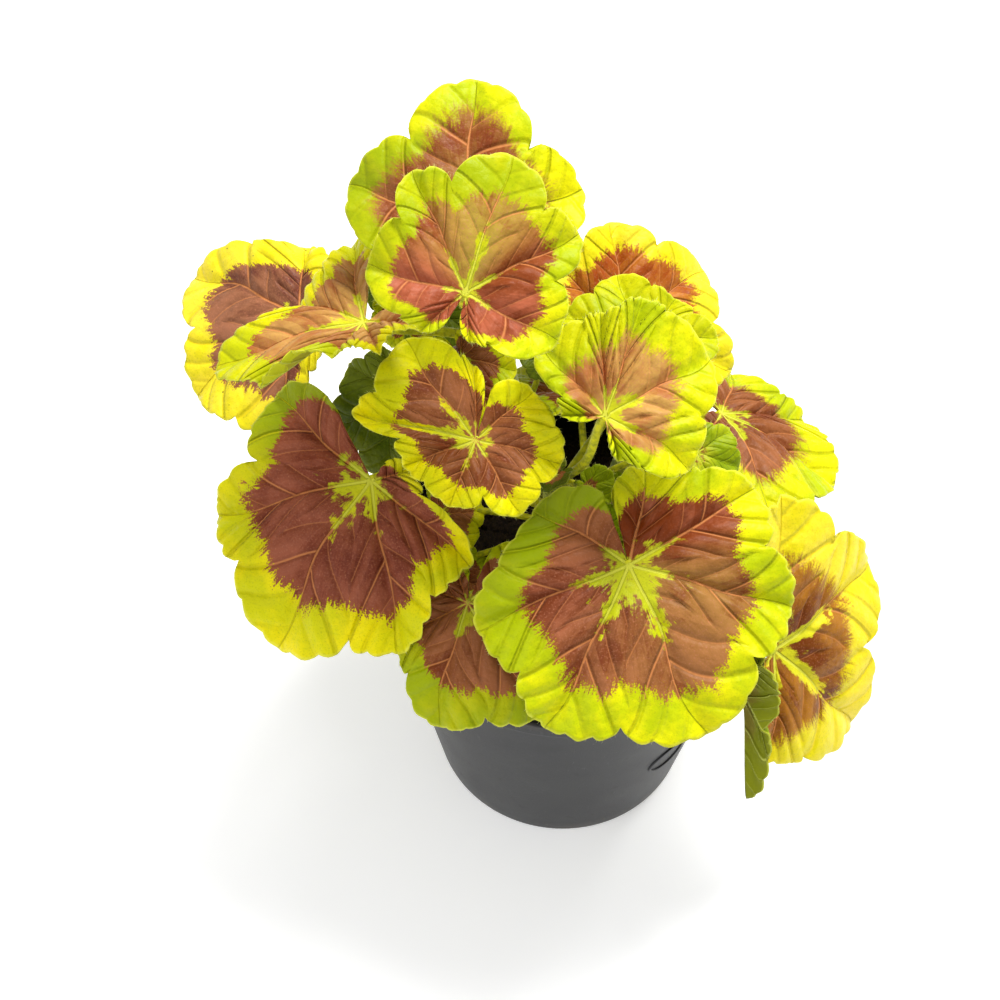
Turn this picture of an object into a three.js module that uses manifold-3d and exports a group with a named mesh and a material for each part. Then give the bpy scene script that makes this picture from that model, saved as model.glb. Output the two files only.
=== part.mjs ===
// A potted zonal pelargonium with lime and bronze leaves, in a dark grey plastic pot.
// Millimetres, +Z up. The origin is the middle of the pot's flat underside, and -Y is the front.
import * as THREE from "three";
import { mergeVertices } from "three/addons/utils/BufferGeometryUtils.js";
import Module from "manifold-3d";

const wasm = await Module();
wasm.setup();

// Pot
const POT_RIM_RADIUS = 52.5;
const POT_BASE_RADIUS = 37.5;
const POT_HEIGHT = 93;
const POT_WALL = 1.4;
const POT_FLOOR = 2;
const LIP_HEIGHT = 6.5;
const LIP_STAND = 1.2;
const LIP_EDGE = 0.6;
const LIP_FOLD = 0.3;
const FOOT_EDGE = 0.8;
const POT_SIDES = 48;
const DRAIN_HOLES = 8;
const DRAIN_RADIUS = 4;
const DRAIN_RING = 25;
const DRAIN_SIDES = 10;
const MEDALLION_RADIUS = 7;
const MEDALLION_BAND = 1.1;
const MEDALLION_STAND = 0.5;
const MEDALLION_HEIGHT = 39;
const MEDALLION_TURNS = [41, -139];
const MEDALLION_EDGE = 0.2;
const MEDALLION_SUNK = 0.7;
const MEDALLION_SIDES = 20;

// Soil
const SOIL_TOP = 83;
const SOIL_MOUND = 3;
const SOIL_RINGS = [0.36, 0.68, 1];
const SOIL_SPOKES = 24;

// Small fixed bumps of the soil's surface: their heights, and the radians that they run on for each mm
const SOIL_LUMPS = { height: 0.5, x: 0.31, y: 0.27 };
const SOIL_RIDGES = { height: 0.4, x: 0.19, y: 0.33 };

// Clearance between pieces that touch, and what the pot's flat sides take from its inside
const SEAT = 0.3;
const FACET_ROOM = 0.15;

// Leaves: the blade's thickness, then its cuts, dishes and waves, with depths as shares of its radius.
// sharpness: the lower it is, the narrower the cut or crease. fade: how fast each dies out inwards.
// turn, start: how far a wave runs on from lobe to lobe and from leaf to leaf, in radians.
const BLADE = 0.7;
const CUT = { depth: 0.12, sharpness: 0.6, fade: 3 };
const TOOTH = { depth: 0.024, sharpness: 0.8, fade: 10 };
const CUP = -0.08;
const DIMPLE = { depth: 0.07, spread: 0.2 };
const FOLD_ROUND = 0.14;
const PLEAT = { depth: 0.04, sharpness: 0.8, fade: 1.3 };
const WAVE = { depth: 0.05, turn: 1.35, start: 1.9, fade: 3 };
const RIPPLE = { depth: 0.02, turn: 3.3, start: 1, fade: 4 };
const INNER_RINGS = [0.34, 0.7];
const LARGE_LEAF = 34;
const LARGE_TEETH = 5;
const SMALL_TEETH = 3;

// Stalks: the radius, what it gains for each mm of the blade's radius, how far under the blade's plane the
// stalk ends, and the pulls that bend it: outwards and upwards at the shoot, along the blade's normal and
// its midrib at the blade, and how far each pull reaches
const STALK_RADIUS = 0.75;
const STALK_GROWTH = 0.013;
const STALK_UNDER = 0.07;
const LEAVE = { outwards: 0.7, upwards: 0.7, reach: 0.5 };
const ARRIVE = { normal: 0.85, midrib: 0.5, reach: 0.25 };
const STALK_SIDES = 5;
const STALK_STEPS = 7;

// Shoots: the curve of each one's axis, its radius, and the number of straight runs that it is drawn with
const SHOOTS = {
  front: { radius: 3.8, path: [[0, 4, 78], [1, 3, 95], [-4, 0, 112], [-5, -4, 134]] },
  back: { radius: 3.8, path: [[-1, 6, 78], [-6, 10, 110], [-20, 22, 140], [-24, 20, 178]] },
  right: { radius: 3.6, path: [[1, 6, 78], [8, 11, 95], [18, 22, 110], [21, 25, 130]] },
};
const SHOOT_STEPS = 8;
const SHOOT_SIDES = 8;
const SHOOT_CAPS = 4;

// Leaf table.
// at: the stalk's end.
// pose: the way the upper face looks, in degrees round from the front towards +X, then its lean from
//   straight up, then the turn of the tip from straight down the slope.
// from: the shoot, and the share of its length at which the stalk leaves it.
// lobes: how far each lobe reaches, from the left one beside the gap round to the right one.
// gap: half of the gap between those two, in degrees.
// cuts: the angle of each cut between two lobes from the midrib, and its depth as a share of the reach.
//   Where a row has none, its lobes are alike in width.
// notch: how deep those even cuts are.
// cup: how far the rim bends up, or down where it is negative, as a share of the radius.
// fold: how steeply both halves fold up about the midrib.
// width: under 1 where the blade is rolled narrow.
// drop: how steeply a stalk that goes over the pot's rim comes down to the blade.
const LEAVES = [
  {
    name: "front_large", at: [13, -28, 130], pose: [10, 36, -12], from: ["front", 0.8],
    lobes: [25, 37, 42.5, 46, 45, 40.5, 27], gap: 3,
    cuts: [[-123, 0.05], [-78, 0.14], [-33, 0.15], [24, 0.12], [67, 0.11], [110, 0.03]],
  },
  {
    name: "left_large", at: [-52, -2, 130], pose: [-40, 30, -20], from: ["front", 0.62],
    lobes: [12, 36, 45, 49.5, 44.5, 36], gap: 38,
    cuts: [[-86, 0.3], [-47, 0.1], [-9, 0.12], [46, 0.13], [86, 0.22]],
  },
  {
    name: "centre_small", at: [-24, -11, 158], pose: [20, 30, 30], from: ["front", 0.9],
    lobes: [18, 21, 20.5, 17, 18.5, 30, 29, 18], gap: 2.5, cup: 0.03,
    cuts: [[-112, 0.05], [-68, 0.12], [-18, 0.25], [38, 0.07], [75, 0.22], [100, 0.1], [155, 0.16]],
  },
  {
    name: "right_furrowed", at: [6, -10, 166], pose: [20, 30, -129], from: ["front", 0.97],
    lobes: [10.5, 23.5, 24.5, 30, 29.5, 24, 11], gap: 35,
    cuts: [[-104, 0.35], [-48, 0.05], [-27, 0.05], [-4, 0.03], [56, 0.13], [113, 0.14]],
  },
  {
    name: "top_front", at: [-26, -7, 205], pose: [0, 35, 201], from: ["back", 0.97],
    lobes: [13, 22, 28.5, 31.5, 28, 22.5, 11],
    cuts: [[-131, 0.15], [-63, 0.17], [-28, 0.2], [23, 0.16], [62, 0.2], [136, 0.28]],
  },
  {
    name: "top_back", at: [-26, 26, 190], pose: [0, 35, 180], from: ["back", 0.88],
    lobes: [20, 30, 35.5, 28.5, 20], gap: 3,
    cuts: [[-106, 0.12], [-33, 0.23], [38, 0.27], [106, 0.12]],
  },
  {
    name: "left_back", at: [-72, 46, 138], pose: [-50, 25, 0], from: ["back", 0.45],
    lobes: [12, 12, 35, 36, 39.5, 21], cup: -0.2,
    cuts: [[-110, 0.05], [-60, 0.25], [-16, 0.08], [43, 0.19], [100, 0.08]],
  },
  {
    name: "left_folded", at: [-51, 10, 178], pose: [-120, 20, -70], from: ["back", 0.8],
    lobes: [17, 15, 15, 29, 37.5, 22, 29], gap: 40, cup: -0.02,
    cuts: [[-92, 0.1], [-50, 0.1], [-5, 0.1], [12, 0.04], [52, 0.04], [100, 0.1]],
  },
  {
    name: "right_back", at: [12, 31, 150], pose: [30, 35, -112], from: ["right", 0.9],
    lobes: [18, 24, 26.5, 29.5, 33, 22, 16],
    cuts: [[-120, 0.1], [-72, 0.1], [-18, 0.16], [43, 0.17], [85, 0.1], [125, 0.1]],
  },
  {
    name: "right_inner", at: [17, 19, 156], pose: [20, 20, 180], from: ["front", 0.85],
    lobes: [15, 18, 22, 20.5, 15, 19, 17],
  },
  {
    name: "right_upper", at: [42, 33, 114], pose: [115, 30, 20], from: ["right", 0.75],
    lobes: [14, 20, 30.5, 36.5, 38, 24], gap: 35,
    cuts: [[-105, 0.1], [-29, 0.1], [5, 0.04], [50, 0.08], [100, 0.1]],
  },
  {
    name: "right_low", at: [54, -30, 92], pose: [45, 55, -70], from: ["front", 0.4],
    lobes: [26, 41, 41.5, 43.5, 31, 14], cup: -0.08, drop: 1,
    cuts: [[-110, 0.1], [-49, 0.19], [16, 0.27], [80, 0.1], [125, 0.1]],
  },
  {
    name: "front_low", at: [-27, -30, 116], pose: [-20, 36, 0], from: ["front", 0.25],
    lobes: [22, 30, 34, 33, 21, 14, 12], cup: -0.2,
  },
  {
    name: "right_hanging", at: [42.5, -42, 106], pose: [102, 90, 36], from: ["front", 0.5],
    lobes: [10, 28, 24, 37, 24, 28, 10], fold: 1.5, width: 0.27,
  },
  {
    name: "left_shaded", at: [-44, 21, 135], pose: [-20, 55, 0], from: ["back", 0.6],
    lobes: [16, 20, 24, 26, 22, 16, 13],
  },
  {
    name: "inner_mid", at: [-28, 9, 164], pose: [10, 30, -20], from: ["back", 0.65],
    lobes: [7, 10, 14, 19, 17, 12, 8],
  },
  {
    name: "inner_dark", at: [-8, 20, 150], pose: [30, 40, 60], from: ["back", 0.55],
    lobes: [5, 6, 6, 6, 6, 6, 5],
  },
  {
    name: "right_pale", at: [30, 0, 138], pose: [30, 35, 0], from: ["front", 0.78],
    lobes: [8, 11, 12, 13, 12, 11, 8],
  },
  {
    name: "right_dark", at: [42, 22, 104], pose: [20, 35, 0], from: ["right", 0.4],
    lobes: [10, 12, 13, 14, 13, 12, 10],
  },
  {
    name: "inner_left", at: [-34, 0, 111], pose: [20, 30, -30], from: ["front", 0.45],
    lobes: [9, 11, 12, 12, 12, 11, 9],
  },
  {
    name: "inner_low", at: [-30, -10, 98], pose: [40, 45, -30], from: ["front", 0.3],
    lobes: [8, 9, 10, 10, 10, 9, 8],
  },
  {
    name: "inner_right", at: [16, 0, 122], pose: [-10, 30, -40], from: ["front", 0.72],
    lobes: [9, 12, 13, 13, 13, 12, 9],
  },
  {
    name: "bud_left", at: [-5, -7, 138], pose: [-60, 20, 0], from: ["front", 0.99],
    lobes: [5, 6, 6, 6, 6, 6, 5], fold: 1,
  },
  {
    name: "bud_right", at: [3, -8, 135], pose: [60, 20, 0], from: ["front", 0.95],
    lobes: [4, 5, 6, 7, 6, 5, 4], fold: 1,
  },
  {
    name: "rear_middle", at: [-16, 66, 130], pose: [180, 35, 10], from: ["back", 0.6],
    lobes: [23, 31, 35, 36, 35, 31, 23],
  },
  {
    name: "rear_right", at: [8, 72, 108], pose: [155, 40, 0], from: ["right", 0.6],
    lobes: [22, 29, 32, 33, 32, 29, 22],
  },
  {
    name: "rear_left", at: [-40, 52, 106], pose: [215, 40, 0], from: ["back", 0.3],
    lobes: [18, 24, 27, 28, 27, 24, 18],
  },
  {
    name: "rear_low", at: [4, 50, 100], pose: [180, 30, 0], from: ["right", 0.2],
    lobes: [18, 22, 25, 26, 25, 22, 18],
  },
  {
    name: "rear_top", at: [-30, 58, 163], pose: [180, 25, 0], from: ["back", 0.75],
    lobes: [16, 21, 25, 26, 25, 21, 16],
  },
  {
    name: "side_right", at: [48, 46, 92], pose: [120, 45, 0], from: ["right", 0.2],
    lobes: [14, 19, 21, 22, 21, 19, 14], drop: 1,
  },
  {
    name: "inner_back", at: [-41, 21, 164], pose: [-20, 30, 160], from: ["back", 0.62],
    lobes: [8, 9, 10, 10, 10, 9, 8],
  },
  {
    name: "rear_inner", at: [-38, 44, 146], pose: [0, 30, 0], from: ["back", 0.5],
    lobes: [12, 15, 16, 16, 16, 15, 12],
  },
];

// A point in the plan, at an angle from the front (-Y) towards +X
const turned = (radius, degrees, z) => {
  const a = THREE.MathUtils.degToRad(degrees);
  return new THREE.Vector3(radius * Math.sin(a), -radius * Math.cos(a), z);
};

// Points nearer than this are one point
const SAME_POINT = 1e-3;

const solidOf = (geometry) => {
  const bare = geometry.clone();
  bare.deleteAttribute("normal");
  bare.deleteAttribute("uv");
  const merged = mergeVertices(bare, SAME_POINT);
  return new wasm.Manifold(
    new wasm.Mesh({
      numProp: 3,
      vertProperties: new Float32Array(merged.attributes.position.array),
      triVerts: new Uint32Array(merged.index.array),
    }),
  );
};

const geometryOf = (solid) => {
  const mesh = solid.getMesh();
  const stride = mesh.numProp;
  const points = new Float32Array((mesh.vertProperties.length / stride) * 3);
  for (let i = 0; i < points.length / 3; i++) {
    points.set(mesh.vertProperties.subarray(i * stride, i * stride + 3), i * 3);
  }
  const geometry = new THREE.BufferGeometry();
  geometry.setAttribute("position", new THREE.BufferAttribute(points, 3));
  geometry.setIndex(new THREE.BufferAttribute(new Uint32Array(mesh.triVerts), 1));
  geometry.computeVertexNormals();
  return geometry;
};

// A tube of even radius along a curve, as one closed body
const tube = (curve, radius, sides, steps) => {
  const ring = [];
  for (let i = 0; i < sides; i++) {
    const a = (2 * Math.PI * i) / sides;
    ring.push(new THREE.Vector2(radius * Math.cos(a), radius * Math.sin(a)));
  }
  const options = { extrudePath: curve, steps, bevelEnabled: false };
  return solidOf(new THREE.ExtrudeGeometry(new THREE.Shape(ring), options));
};

// Half-width of the pot's outer wall at a height
const WALL_GROWTH = (POT_RIM_RADIUS - LIP_STAND - POT_BASE_RADIUS) / POT_HEIGHT;
const wallRadius = (z) => POT_BASE_RADIUS + WALL_GROWTH * z;

const upright = (geometry) => geometry.rotateX(Math.PI / 2);

function makePot() {
  const lipFoot = POT_HEIGHT - LIP_HEIGHT;
  const profile = [
    [0, 0],
    [POT_BASE_RADIUS - FOOT_EDGE, 0],
    [wallRadius(1), 1],
    [wallRadius(lipFoot), lipFoot],
    [POT_RIM_RADIUS - LIP_FOLD, lipFoot + LIP_EDGE],
    [POT_RIM_RADIUS, POT_HEIGHT - LIP_EDGE],
    [POT_RIM_RADIUS - LIP_EDGE, POT_HEIGHT],
    [wallRadius(POT_HEIGHT) - POT_WALL + LIP_FOLD, POT_HEIGHT],
    [wallRadius(POT_HEIGHT) - POT_WALL, POT_HEIGHT - LIP_EDGE],
    [wallRadius(POT_FLOOR) - POT_WALL, POT_FLOOR],
    [0, POT_FLOOR],
  ].map(([r, z]) => new THREE.Vector2(r, z));
  let pot = solidOf(upright(new THREE.LatheGeometry(profile, POT_SIDES)));
  for (let i = 0; i < DRAIN_HOLES; i++) {
    const drill = new THREE.CylinderGeometry(DRAIN_RADIUS, DRAIN_RADIUS, 3 * POT_FLOOR, DRAIN_SIDES);
    const at = turned(DRAIN_RING, (360 * i) / DRAIN_HOLES, POT_FLOOR / 2);
    pot = pot.subtract(solidOf(upright(drill).translate(at.x, at.y, at.z)));
  }
  for (const degrees of MEDALLION_TURNS) {
    pot = pot.add(makeMedallion(degrees));
  }
  return pot;
}

// A plain round raised band on the pot's wall
function makeMedallion(degrees) {
  const out = MEDALLION_RADIUS;
  const inner = MEDALLION_RADIUS - MEDALLION_BAND;
  const depth = MEDALLION_STAND + MEDALLION_SUNK * POT_WALL;
  const profile = [
    [inner, 0],
    [out, 0],
    [out, depth - MEDALLION_EDGE],
    [out - MEDALLION_EDGE, depth],
    [inner + MEDALLION_EDGE, depth],
    [inner, depth - MEDALLION_EDGE],
    [inner, 0],
  ].map(([r, z]) => new THREE.Vector2(r, z));
  const band = new THREE.LatheGeometry(profile, MEDALLION_SIDES);
  const slope = Math.atan(WALL_GROWTH);
  const a = THREE.MathUtils.degToRad(degrees);
  // The lathe's axis is laid along -Y, out of the front wall, tipped to the wall's slope and turned
  band.rotateX(Math.PI);
  band.rotateX(slope);
  const wall = wallRadius(MEDALLION_HEIGHT) + MEDALLION_STAND - depth;
  band.translate(0, -wall, MEDALLION_HEIGHT);
  band.rotateZ(a);
  return solidOf(band);
}

// A shoot's axis
const shootCurve = (name) => {
  const points = SHOOTS[name].path.map((point) => new THREE.Vector3(...point));
  return new THREE.CubicBezierCurve3(...points);
};

// The shoots as one solid, with their radius grown by some clearance
function makeStem(extra) {
  let stem = null;
  for (const name of Object.keys(SHOOTS)) {
    const curve = shootCurve(name);
    const radius = SHOOTS[name].radius + extra;
    const tip = curve.getPoint(1);
    const end = new THREE.SphereGeometry(radius, SHOOT_SIDES, SHOOT_CAPS).translate(tip.x, tip.y, tip.z);
    const shoot = tube(curve, radius, SHOOT_SIDES, SHOOT_STEPS).add(solidOf(end));
    stem = stem ? stem.add(shoot) : shoot;
  }
  return stem;
}

const soilLift = (x, y) => {
  const lumps = SOIL_LUMPS.height * Math.sin(SOIL_LUMPS.x * x + 1) * Math.cos(SOIL_LUMPS.y * y);
  const ridges = SOIL_RIDGES.height * Math.sin(SOIL_RIDGES.x * x - SOIL_RIDGES.y * y);
  return lumps + ridges;
};

function makeSoil(stemHole) {
  const topRadius = wallRadius(SOIL_TOP) - POT_WALL - SEAT - FACET_ROOM;
  const footRadius = wallRadius(POT_FLOOR) - POT_WALL - SEAT - FACET_ROOM;
  const points = [[0, 0, SOIL_TOP + SOIL_MOUND + soilLift(0, 0)]];
  const faces = [];
  SOIL_RINGS.forEach((share) => {
    for (let i = 0; i < SOIL_SPOKES; i++) {
      const at = turned(topRadius * share, (360 * i) / SOIL_SPOKES, 0);
      const bump = share < 1 ? soilLift(at.x, at.y) : 0;
      points.push([at.x, at.y, SOIL_TOP + SOIL_MOUND * (1 - share * share) + bump]);
    }
  });
  for (let i = 0; i < SOIL_SPOKES; i++) {
    const at = turned(footRadius, (360 * i) / SOIL_SPOKES, POT_FLOOR + SEAT);
    points.push([at.x, at.y, at.z]);
  }
  points.push([0, 0, POT_FLOOR + SEAT]);
  const last = points.length - 1;
  const rows = SOIL_RINGS.length + 1;
  for (let i = 0; i < SOIL_SPOKES; i++) {
    const j = (i + 1) % SOIL_SPOKES;
    faces.push([0, 1 + i, 1 + j]);
    for (let row = 0; row + 1 < rows; row++) {
      const a = 1 + row * SOIL_SPOKES;
      const b = a + SOIL_SPOKES;
      faces.push([a + i, b + i, b + j], [a + i, b + j, a + j]);
    }
    const a = 1 + (rows - 1) * SOIL_SPOKES;
    faces.push([a + i, last, a + j]);
  }
  return solidOf(meshFrom(points, faces)).subtract(stemHole);
}

function meshFrom(points, faces) {
  const geometry = new THREE.BufferGeometry();
  geometry.setAttribute("position", new THREE.Float32BufferAttribute(points.flat(), 3));
  geometry.setIndex(faces.flat());
  return geometry;
}

// A leaf's row with what it leaves out filled in. Its place in the table sets its own waves.
function leafOf(row, index) {
  const radius = Math.max(...row.lobes);
  const teeth = radius >= LARGE_LEAF ? LARGE_TEETH : SMALL_TEETH;
  const leaf = { gap: 10, cup: CUP, fold: 0, notch: CUT.depth, width: 1, drop: 0, ...row };
  const end = 180 - leaf.gap;
  const count = row.lobes.length;
  const even = row.lobes.slice(1).map((_, k) => [end * ((2 * (k + 1)) / count - 1), leaf.notch]);
  const cuts = row.cuts ?? even;
  const turns = [-end, ...cuts.map(([turn]) => turn), end];
  return { ...leaf, seed: index + 1, radius, teeth, count, turns, depths: cuts.map(([, depth]) => depth) };
}

// The blade's own axes: normal out of its upper face, tip along the midrib, right across it
function bladeAxes(leaf) {
  const [a, lean, spin] = leaf.pose.map(THREE.MathUtils.degToRad);
  const facing = new THREE.Vector3(Math.sin(a), -Math.cos(a), 0);
  const up = new THREE.Vector3(0, 0, 1);
  const normal = up.clone().multiplyScalar(Math.cos(lean)).addScaledVector(facing, Math.sin(lean));
  const down = facing.clone().multiplyScalar(Math.cos(lean)).addScaledVector(up, -Math.sin(lean));
  const side = down.clone().cross(normal);
  const tip = down.clone().multiplyScalar(Math.cos(spin)).addScaledVector(side, Math.sin(spin));
  const right = side.clone().multiplyScalar(Math.cos(spin)).addScaledVector(down, -Math.sin(spin));
  return { normal, tip, right };
}

const clamp = THREE.MathUtils.clamp;
const lerp = THREE.MathUtils.lerp;

const smooth = (share) => share * share * (3 - 2 * share);

// The phase of a lobe's cuts: its sine is 0 along the middle of a lobe, and its cosine is 0 along a cut
const lobePhase = (leaf, w) => Math.PI * (w + (leaf.count - 1) / 2);

// The angle from the midrib, in radians, at w lobes from it
function turnAt(leaf, w) {
  const u = w + leaf.count / 2;
  const k = clamp(Math.floor(u), 0, leaf.count - 1);
  return THREE.MathUtils.degToRad(lerp(leaf.turns[k], leaf.turns[k + 1], u - k));
}

// How far the blade reaches. w counts lobes from the midrib, and t runs from 0 at the stalk to 1 at
// the margin. Cuts between lobes and teeth fade out inwards.
function reach(leaf, w, t) {
  const last = leaf.count - 1;
  const at = clamp(w + last / 2, 0, last);
  const k = Math.min(Math.floor(at), last - 1);
  const body = lerp(leaf.lobes[k], leaf.lobes[k + 1], smooth(at - k));
  const past = Math.max(Math.abs(w) - last / 2, 0);
  const phase = lobePhase(leaf, w);
  const depth = leaf.depths[clamp(Math.round(w + leaf.count / 2) - 1, 0, last - 1)];
  const cut = depth * (1 - Math.abs(Math.cos(phase)) ** CUT.sharpness) * t ** CUT.fade;
  const nick = 1 - Math.abs(Math.cos(leaf.teeth * phase)) ** TOOTH.sharpness;
  return t * body * (1 - past ** 2) * (1 - cut) * (1 - TOOTH.depth * nick * t ** TOOTH.fade);
}

// Height of the blade over its flat plane, as a share of its radius. x and y are shares of the radius too.
function swell(leaf, x, y, w, t) {
  const r2 = x * x + y * y;
  const dish = leaf.cup * r2 - DIMPLE.depth * Math.exp(-r2 / DIMPLE.spread ** 2);
  const fold = leaf.fold * (Math.hypot(x, FOLD_ROUND) - FOLD_ROUND);
  const crease = 2 * Math.abs(Math.sin(lobePhase(leaf, w))) ** PLEAT.sharpness - 1;
  const pleat = PLEAT.depth * t ** PLEAT.fade * crease;
  const wave = WAVE.depth * t ** WAVE.fade * Math.sin(WAVE.turn * w + WAVE.start * leaf.seed);
  const ripple = RIPPLE.depth * t ** RIPPLE.fade * Math.cos(RIPPLE.turn * w + RIPPLE.start * leaf.seed);
  return dish + fold + pleat + wave + ripple;
}

// A point of the blade, in its own frame
function bladePoint(leaf, w, t) {
  const phi = turnAt(leaf, w);
  const r = reach(leaf, w, t) / leaf.radius;
  const x = leaf.width * r * Math.sin(phi);
  const y = r * Math.cos(phi);
  return [leaf.radius * x, leaf.radius * y, leaf.radius * swell(leaf, x, y, w, t)];
}

// The blade: a fan of rings that is open at the gap, split alike on both faces and closed round its margin
function bladeSolid(leaf) {
  const lobes = leaf.count;
  const counts = [lobes, 2 * lobes, 2 * lobes * leaf.teeth];
  const shares = [...INNER_RINGS, 1];
  const flat = [[0, 0, leaf.radius * swell(leaf, 0, 0, 0, 0)]];
  const rings = counts.map((count, k) => {
    const ring = [];
    for (let i = 0; i <= count; i++) {
      ring.push(flat.length);
      flat.push(bladePoint(leaf, (lobes * i) / count - lobes / 2, shares[k]));
    }
    return ring;
  });
  const fan = [];
  for (let i = 0; i < rings[0].length - 1; i++) {
    fan.push([0, rings[0][i + 1], rings[0][i]]);
  }
  for (let k = 0; k + 1 < rings.length; k++) {
    fan.push(...zip(rings[k], rings[k + 1]));
  }
  const edge = [0, ...rings.map((ring) => ring[0])];
  edge.push(...rings[2].slice(1));
  edge.push(rings[1].at(-1), rings[0].at(-1));
  const n = flat.length;
  const raised = (by) => flat.map(([x, y, z]) => [x, y, z + by]);
  const half = (BLADE / 2) * Math.hypot(1, leaf.fold);
  const points = [...raised(half), ...raised(-half)];
  const faces = [...fan, ...fan.map(([a, b, c]) => [a + n, c + n, b + n])];
  edge.forEach((a, i) => {
    const b = edge[(i + 1) % edge.length];
    faces.push([a, b, b + n], [a, b + n, a + n]);
  });
  const { normal, tip, right } = bladeAxes(leaf);
  const world = new THREE.Matrix4().makeBasis(right, tip, normal).setPosition(...leaf.at);
  return solidOf(meshFrom(points, faces).applyMatrix4(world));
}

// Triangles between two rings that start and end on the same rays
function zip(inner, outer) {
  const faces = [];
  let i = 0;
  let j = 0;
  while (i < inner.length - 1 || j < outer.length - 1) {
    const nextInner = (i + 1) / (inner.length - 1);
    const nextOuter = (j + 1) / (outer.length - 1);
    if (j < outer.length - 1 && nextOuter <= nextInner + 1e-9) {
      faces.push([inner[i], outer[j + 1], outer[j]]);
      j++;
    } else {
      faces.push([inner[i], inner[i + 1], outer[j]]);
      i++;
    }
  }
  return faces;
}

// The stalk: it leaves the shoot outwards and upwards, and meets the blade from below, at the gap's end
function stalkCurve(leaf) {
  const [shoot, up] = leaf.from;
  const from = shootCurve(shoot).getPoint(up);
  const { normal, tip } = bladeAxes(leaf);
  const to = new THREE.Vector3(...leaf.at).addScaledVector(normal, -STALK_UNDER * leaf.radius);
  const span = to.clone().sub(from);
  const length = span.length();
  const outward = new THREE.Vector3(span.x, span.y, 0).normalize();
  const start = outward.multiplyScalar(LEAVE.outwards).add(new THREE.Vector3(0, 0, LEAVE.upwards));
  const arrive = normal.clone().multiplyScalar(ARRIVE.normal).addScaledVector(tip, ARRIVE.midrib);
  arrive.z -= leaf.drop;
  return new THREE.CubicBezierCurve3(
    from,
    from.clone().addScaledVector(start, LEAVE.reach * length),
    to.clone().addScaledVector(arrive, -ARRIVE.reach * length),
    to,
  );
}

function makeLeaf(leaf, stemSeat) {
  const radius = STALK_RADIUS + STALK_GROWTH * leaf.radius;
  const stalk = tube(stalkCurve(leaf), radius, STALK_SIDES, STALK_STEPS).subtract(stemSeat);
  return bladeSolid(leaf).add(stalk);
}

const material = (color, roughness) => new THREE.MeshStandardMaterial({ color, roughness, metalness: 0 });

const potPlastic = material(0x4c4d4f, 0.5);
const soilPeat = material(0x2a211a, 0.95);
const stemGreen = material(0x8a9a34, 0.55);
const leafLime = material(0xc3cf22, 0.5);

const plant = new THREE.Group();
const place = (name, solid, finish) => {
  const mesh = new THREE.Mesh(geometryOf(solid), finish);
  mesh.name = name;
  plant.add(mesh);
};

const stemSeat = makeStem(SEAT);
place("pot", makePot(), potPlastic);
place("soil", makeSoil(stemSeat), soilPeat);
place("stem", makeStem(0), stemGreen);
for (const leaf of LEAVES.map(leafOf)) {
  place(`leaf_${leaf.name}`, makeLeaf(leaf, stemSeat), leafLime);
}

export default plant;
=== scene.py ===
import math

import bpy
import numpy as np
from mathutils import Euler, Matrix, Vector, noise


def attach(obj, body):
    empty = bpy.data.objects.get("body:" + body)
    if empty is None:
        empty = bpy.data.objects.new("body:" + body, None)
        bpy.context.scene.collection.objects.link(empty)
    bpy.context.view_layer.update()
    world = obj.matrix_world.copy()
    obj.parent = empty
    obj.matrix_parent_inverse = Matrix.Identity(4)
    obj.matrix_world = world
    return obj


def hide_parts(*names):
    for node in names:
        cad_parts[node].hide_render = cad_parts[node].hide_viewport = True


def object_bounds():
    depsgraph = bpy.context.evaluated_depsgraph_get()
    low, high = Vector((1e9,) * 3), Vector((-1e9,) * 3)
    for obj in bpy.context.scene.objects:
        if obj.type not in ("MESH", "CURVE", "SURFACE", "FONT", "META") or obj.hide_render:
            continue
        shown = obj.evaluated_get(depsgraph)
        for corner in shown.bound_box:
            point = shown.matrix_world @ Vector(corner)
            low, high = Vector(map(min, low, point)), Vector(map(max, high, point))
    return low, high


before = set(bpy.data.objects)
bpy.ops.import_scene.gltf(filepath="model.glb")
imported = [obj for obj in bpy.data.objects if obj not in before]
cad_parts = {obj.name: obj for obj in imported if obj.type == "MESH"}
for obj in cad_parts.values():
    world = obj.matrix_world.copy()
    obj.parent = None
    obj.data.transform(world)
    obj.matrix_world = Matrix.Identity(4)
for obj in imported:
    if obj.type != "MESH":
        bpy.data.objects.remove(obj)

CAD_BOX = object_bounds()
MM = 0.001

# The camera that took the photograph: its height angle over the floor in degrees, its place in mm, and
# its focal length in pixels of a frame 1000 wide
VIEW_ELEVATION = 55
CAMERA_AT = (-18.6, -260.2, 489.2)
FOCAL_PIXELS = 1776
FRAME_PIXELS = 1000
SENSOR_MM = 36

# Pot, in mm
POT_RIM_RADIUS = 52.5
POT_BASE_RADIUS = 37.5
POT_HEIGHT = 93
POT_WALL = 1.4
POT_FLOOR = 2
LIP_HEIGHT = 6.5
LIP_STAND = 1.2
LIP_EDGE = 0.6
LIP_FOLD = 0.3
FOOT_EDGE = 0.8
POT_SIDES = 240
DRAIN_HOLES = 8
DRAIN_RADIUS = 4
DRAIN_RING = 25
MEDALLION_RADIUS = 7
MEDALLION_BAND = 1.1
MEDALLION_STAND = 0.5
MEDALLION_HEIGHT = 39
MEDALLION_TURNS = (41, -139)
MEDALLION_SUNK = 0.3
MEDALLION_STEPS = 120
MEDALLION_BANDS = 10
FOOT_HEIGHT = 1
FLOOR_MIDDLE = 10
CORNER_ROUND = 0.5
CORNER_MOST = 0.45
CORNER_STEPS = 4
WALL_STEP = 5
HOLE_SIDES = 40

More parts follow.
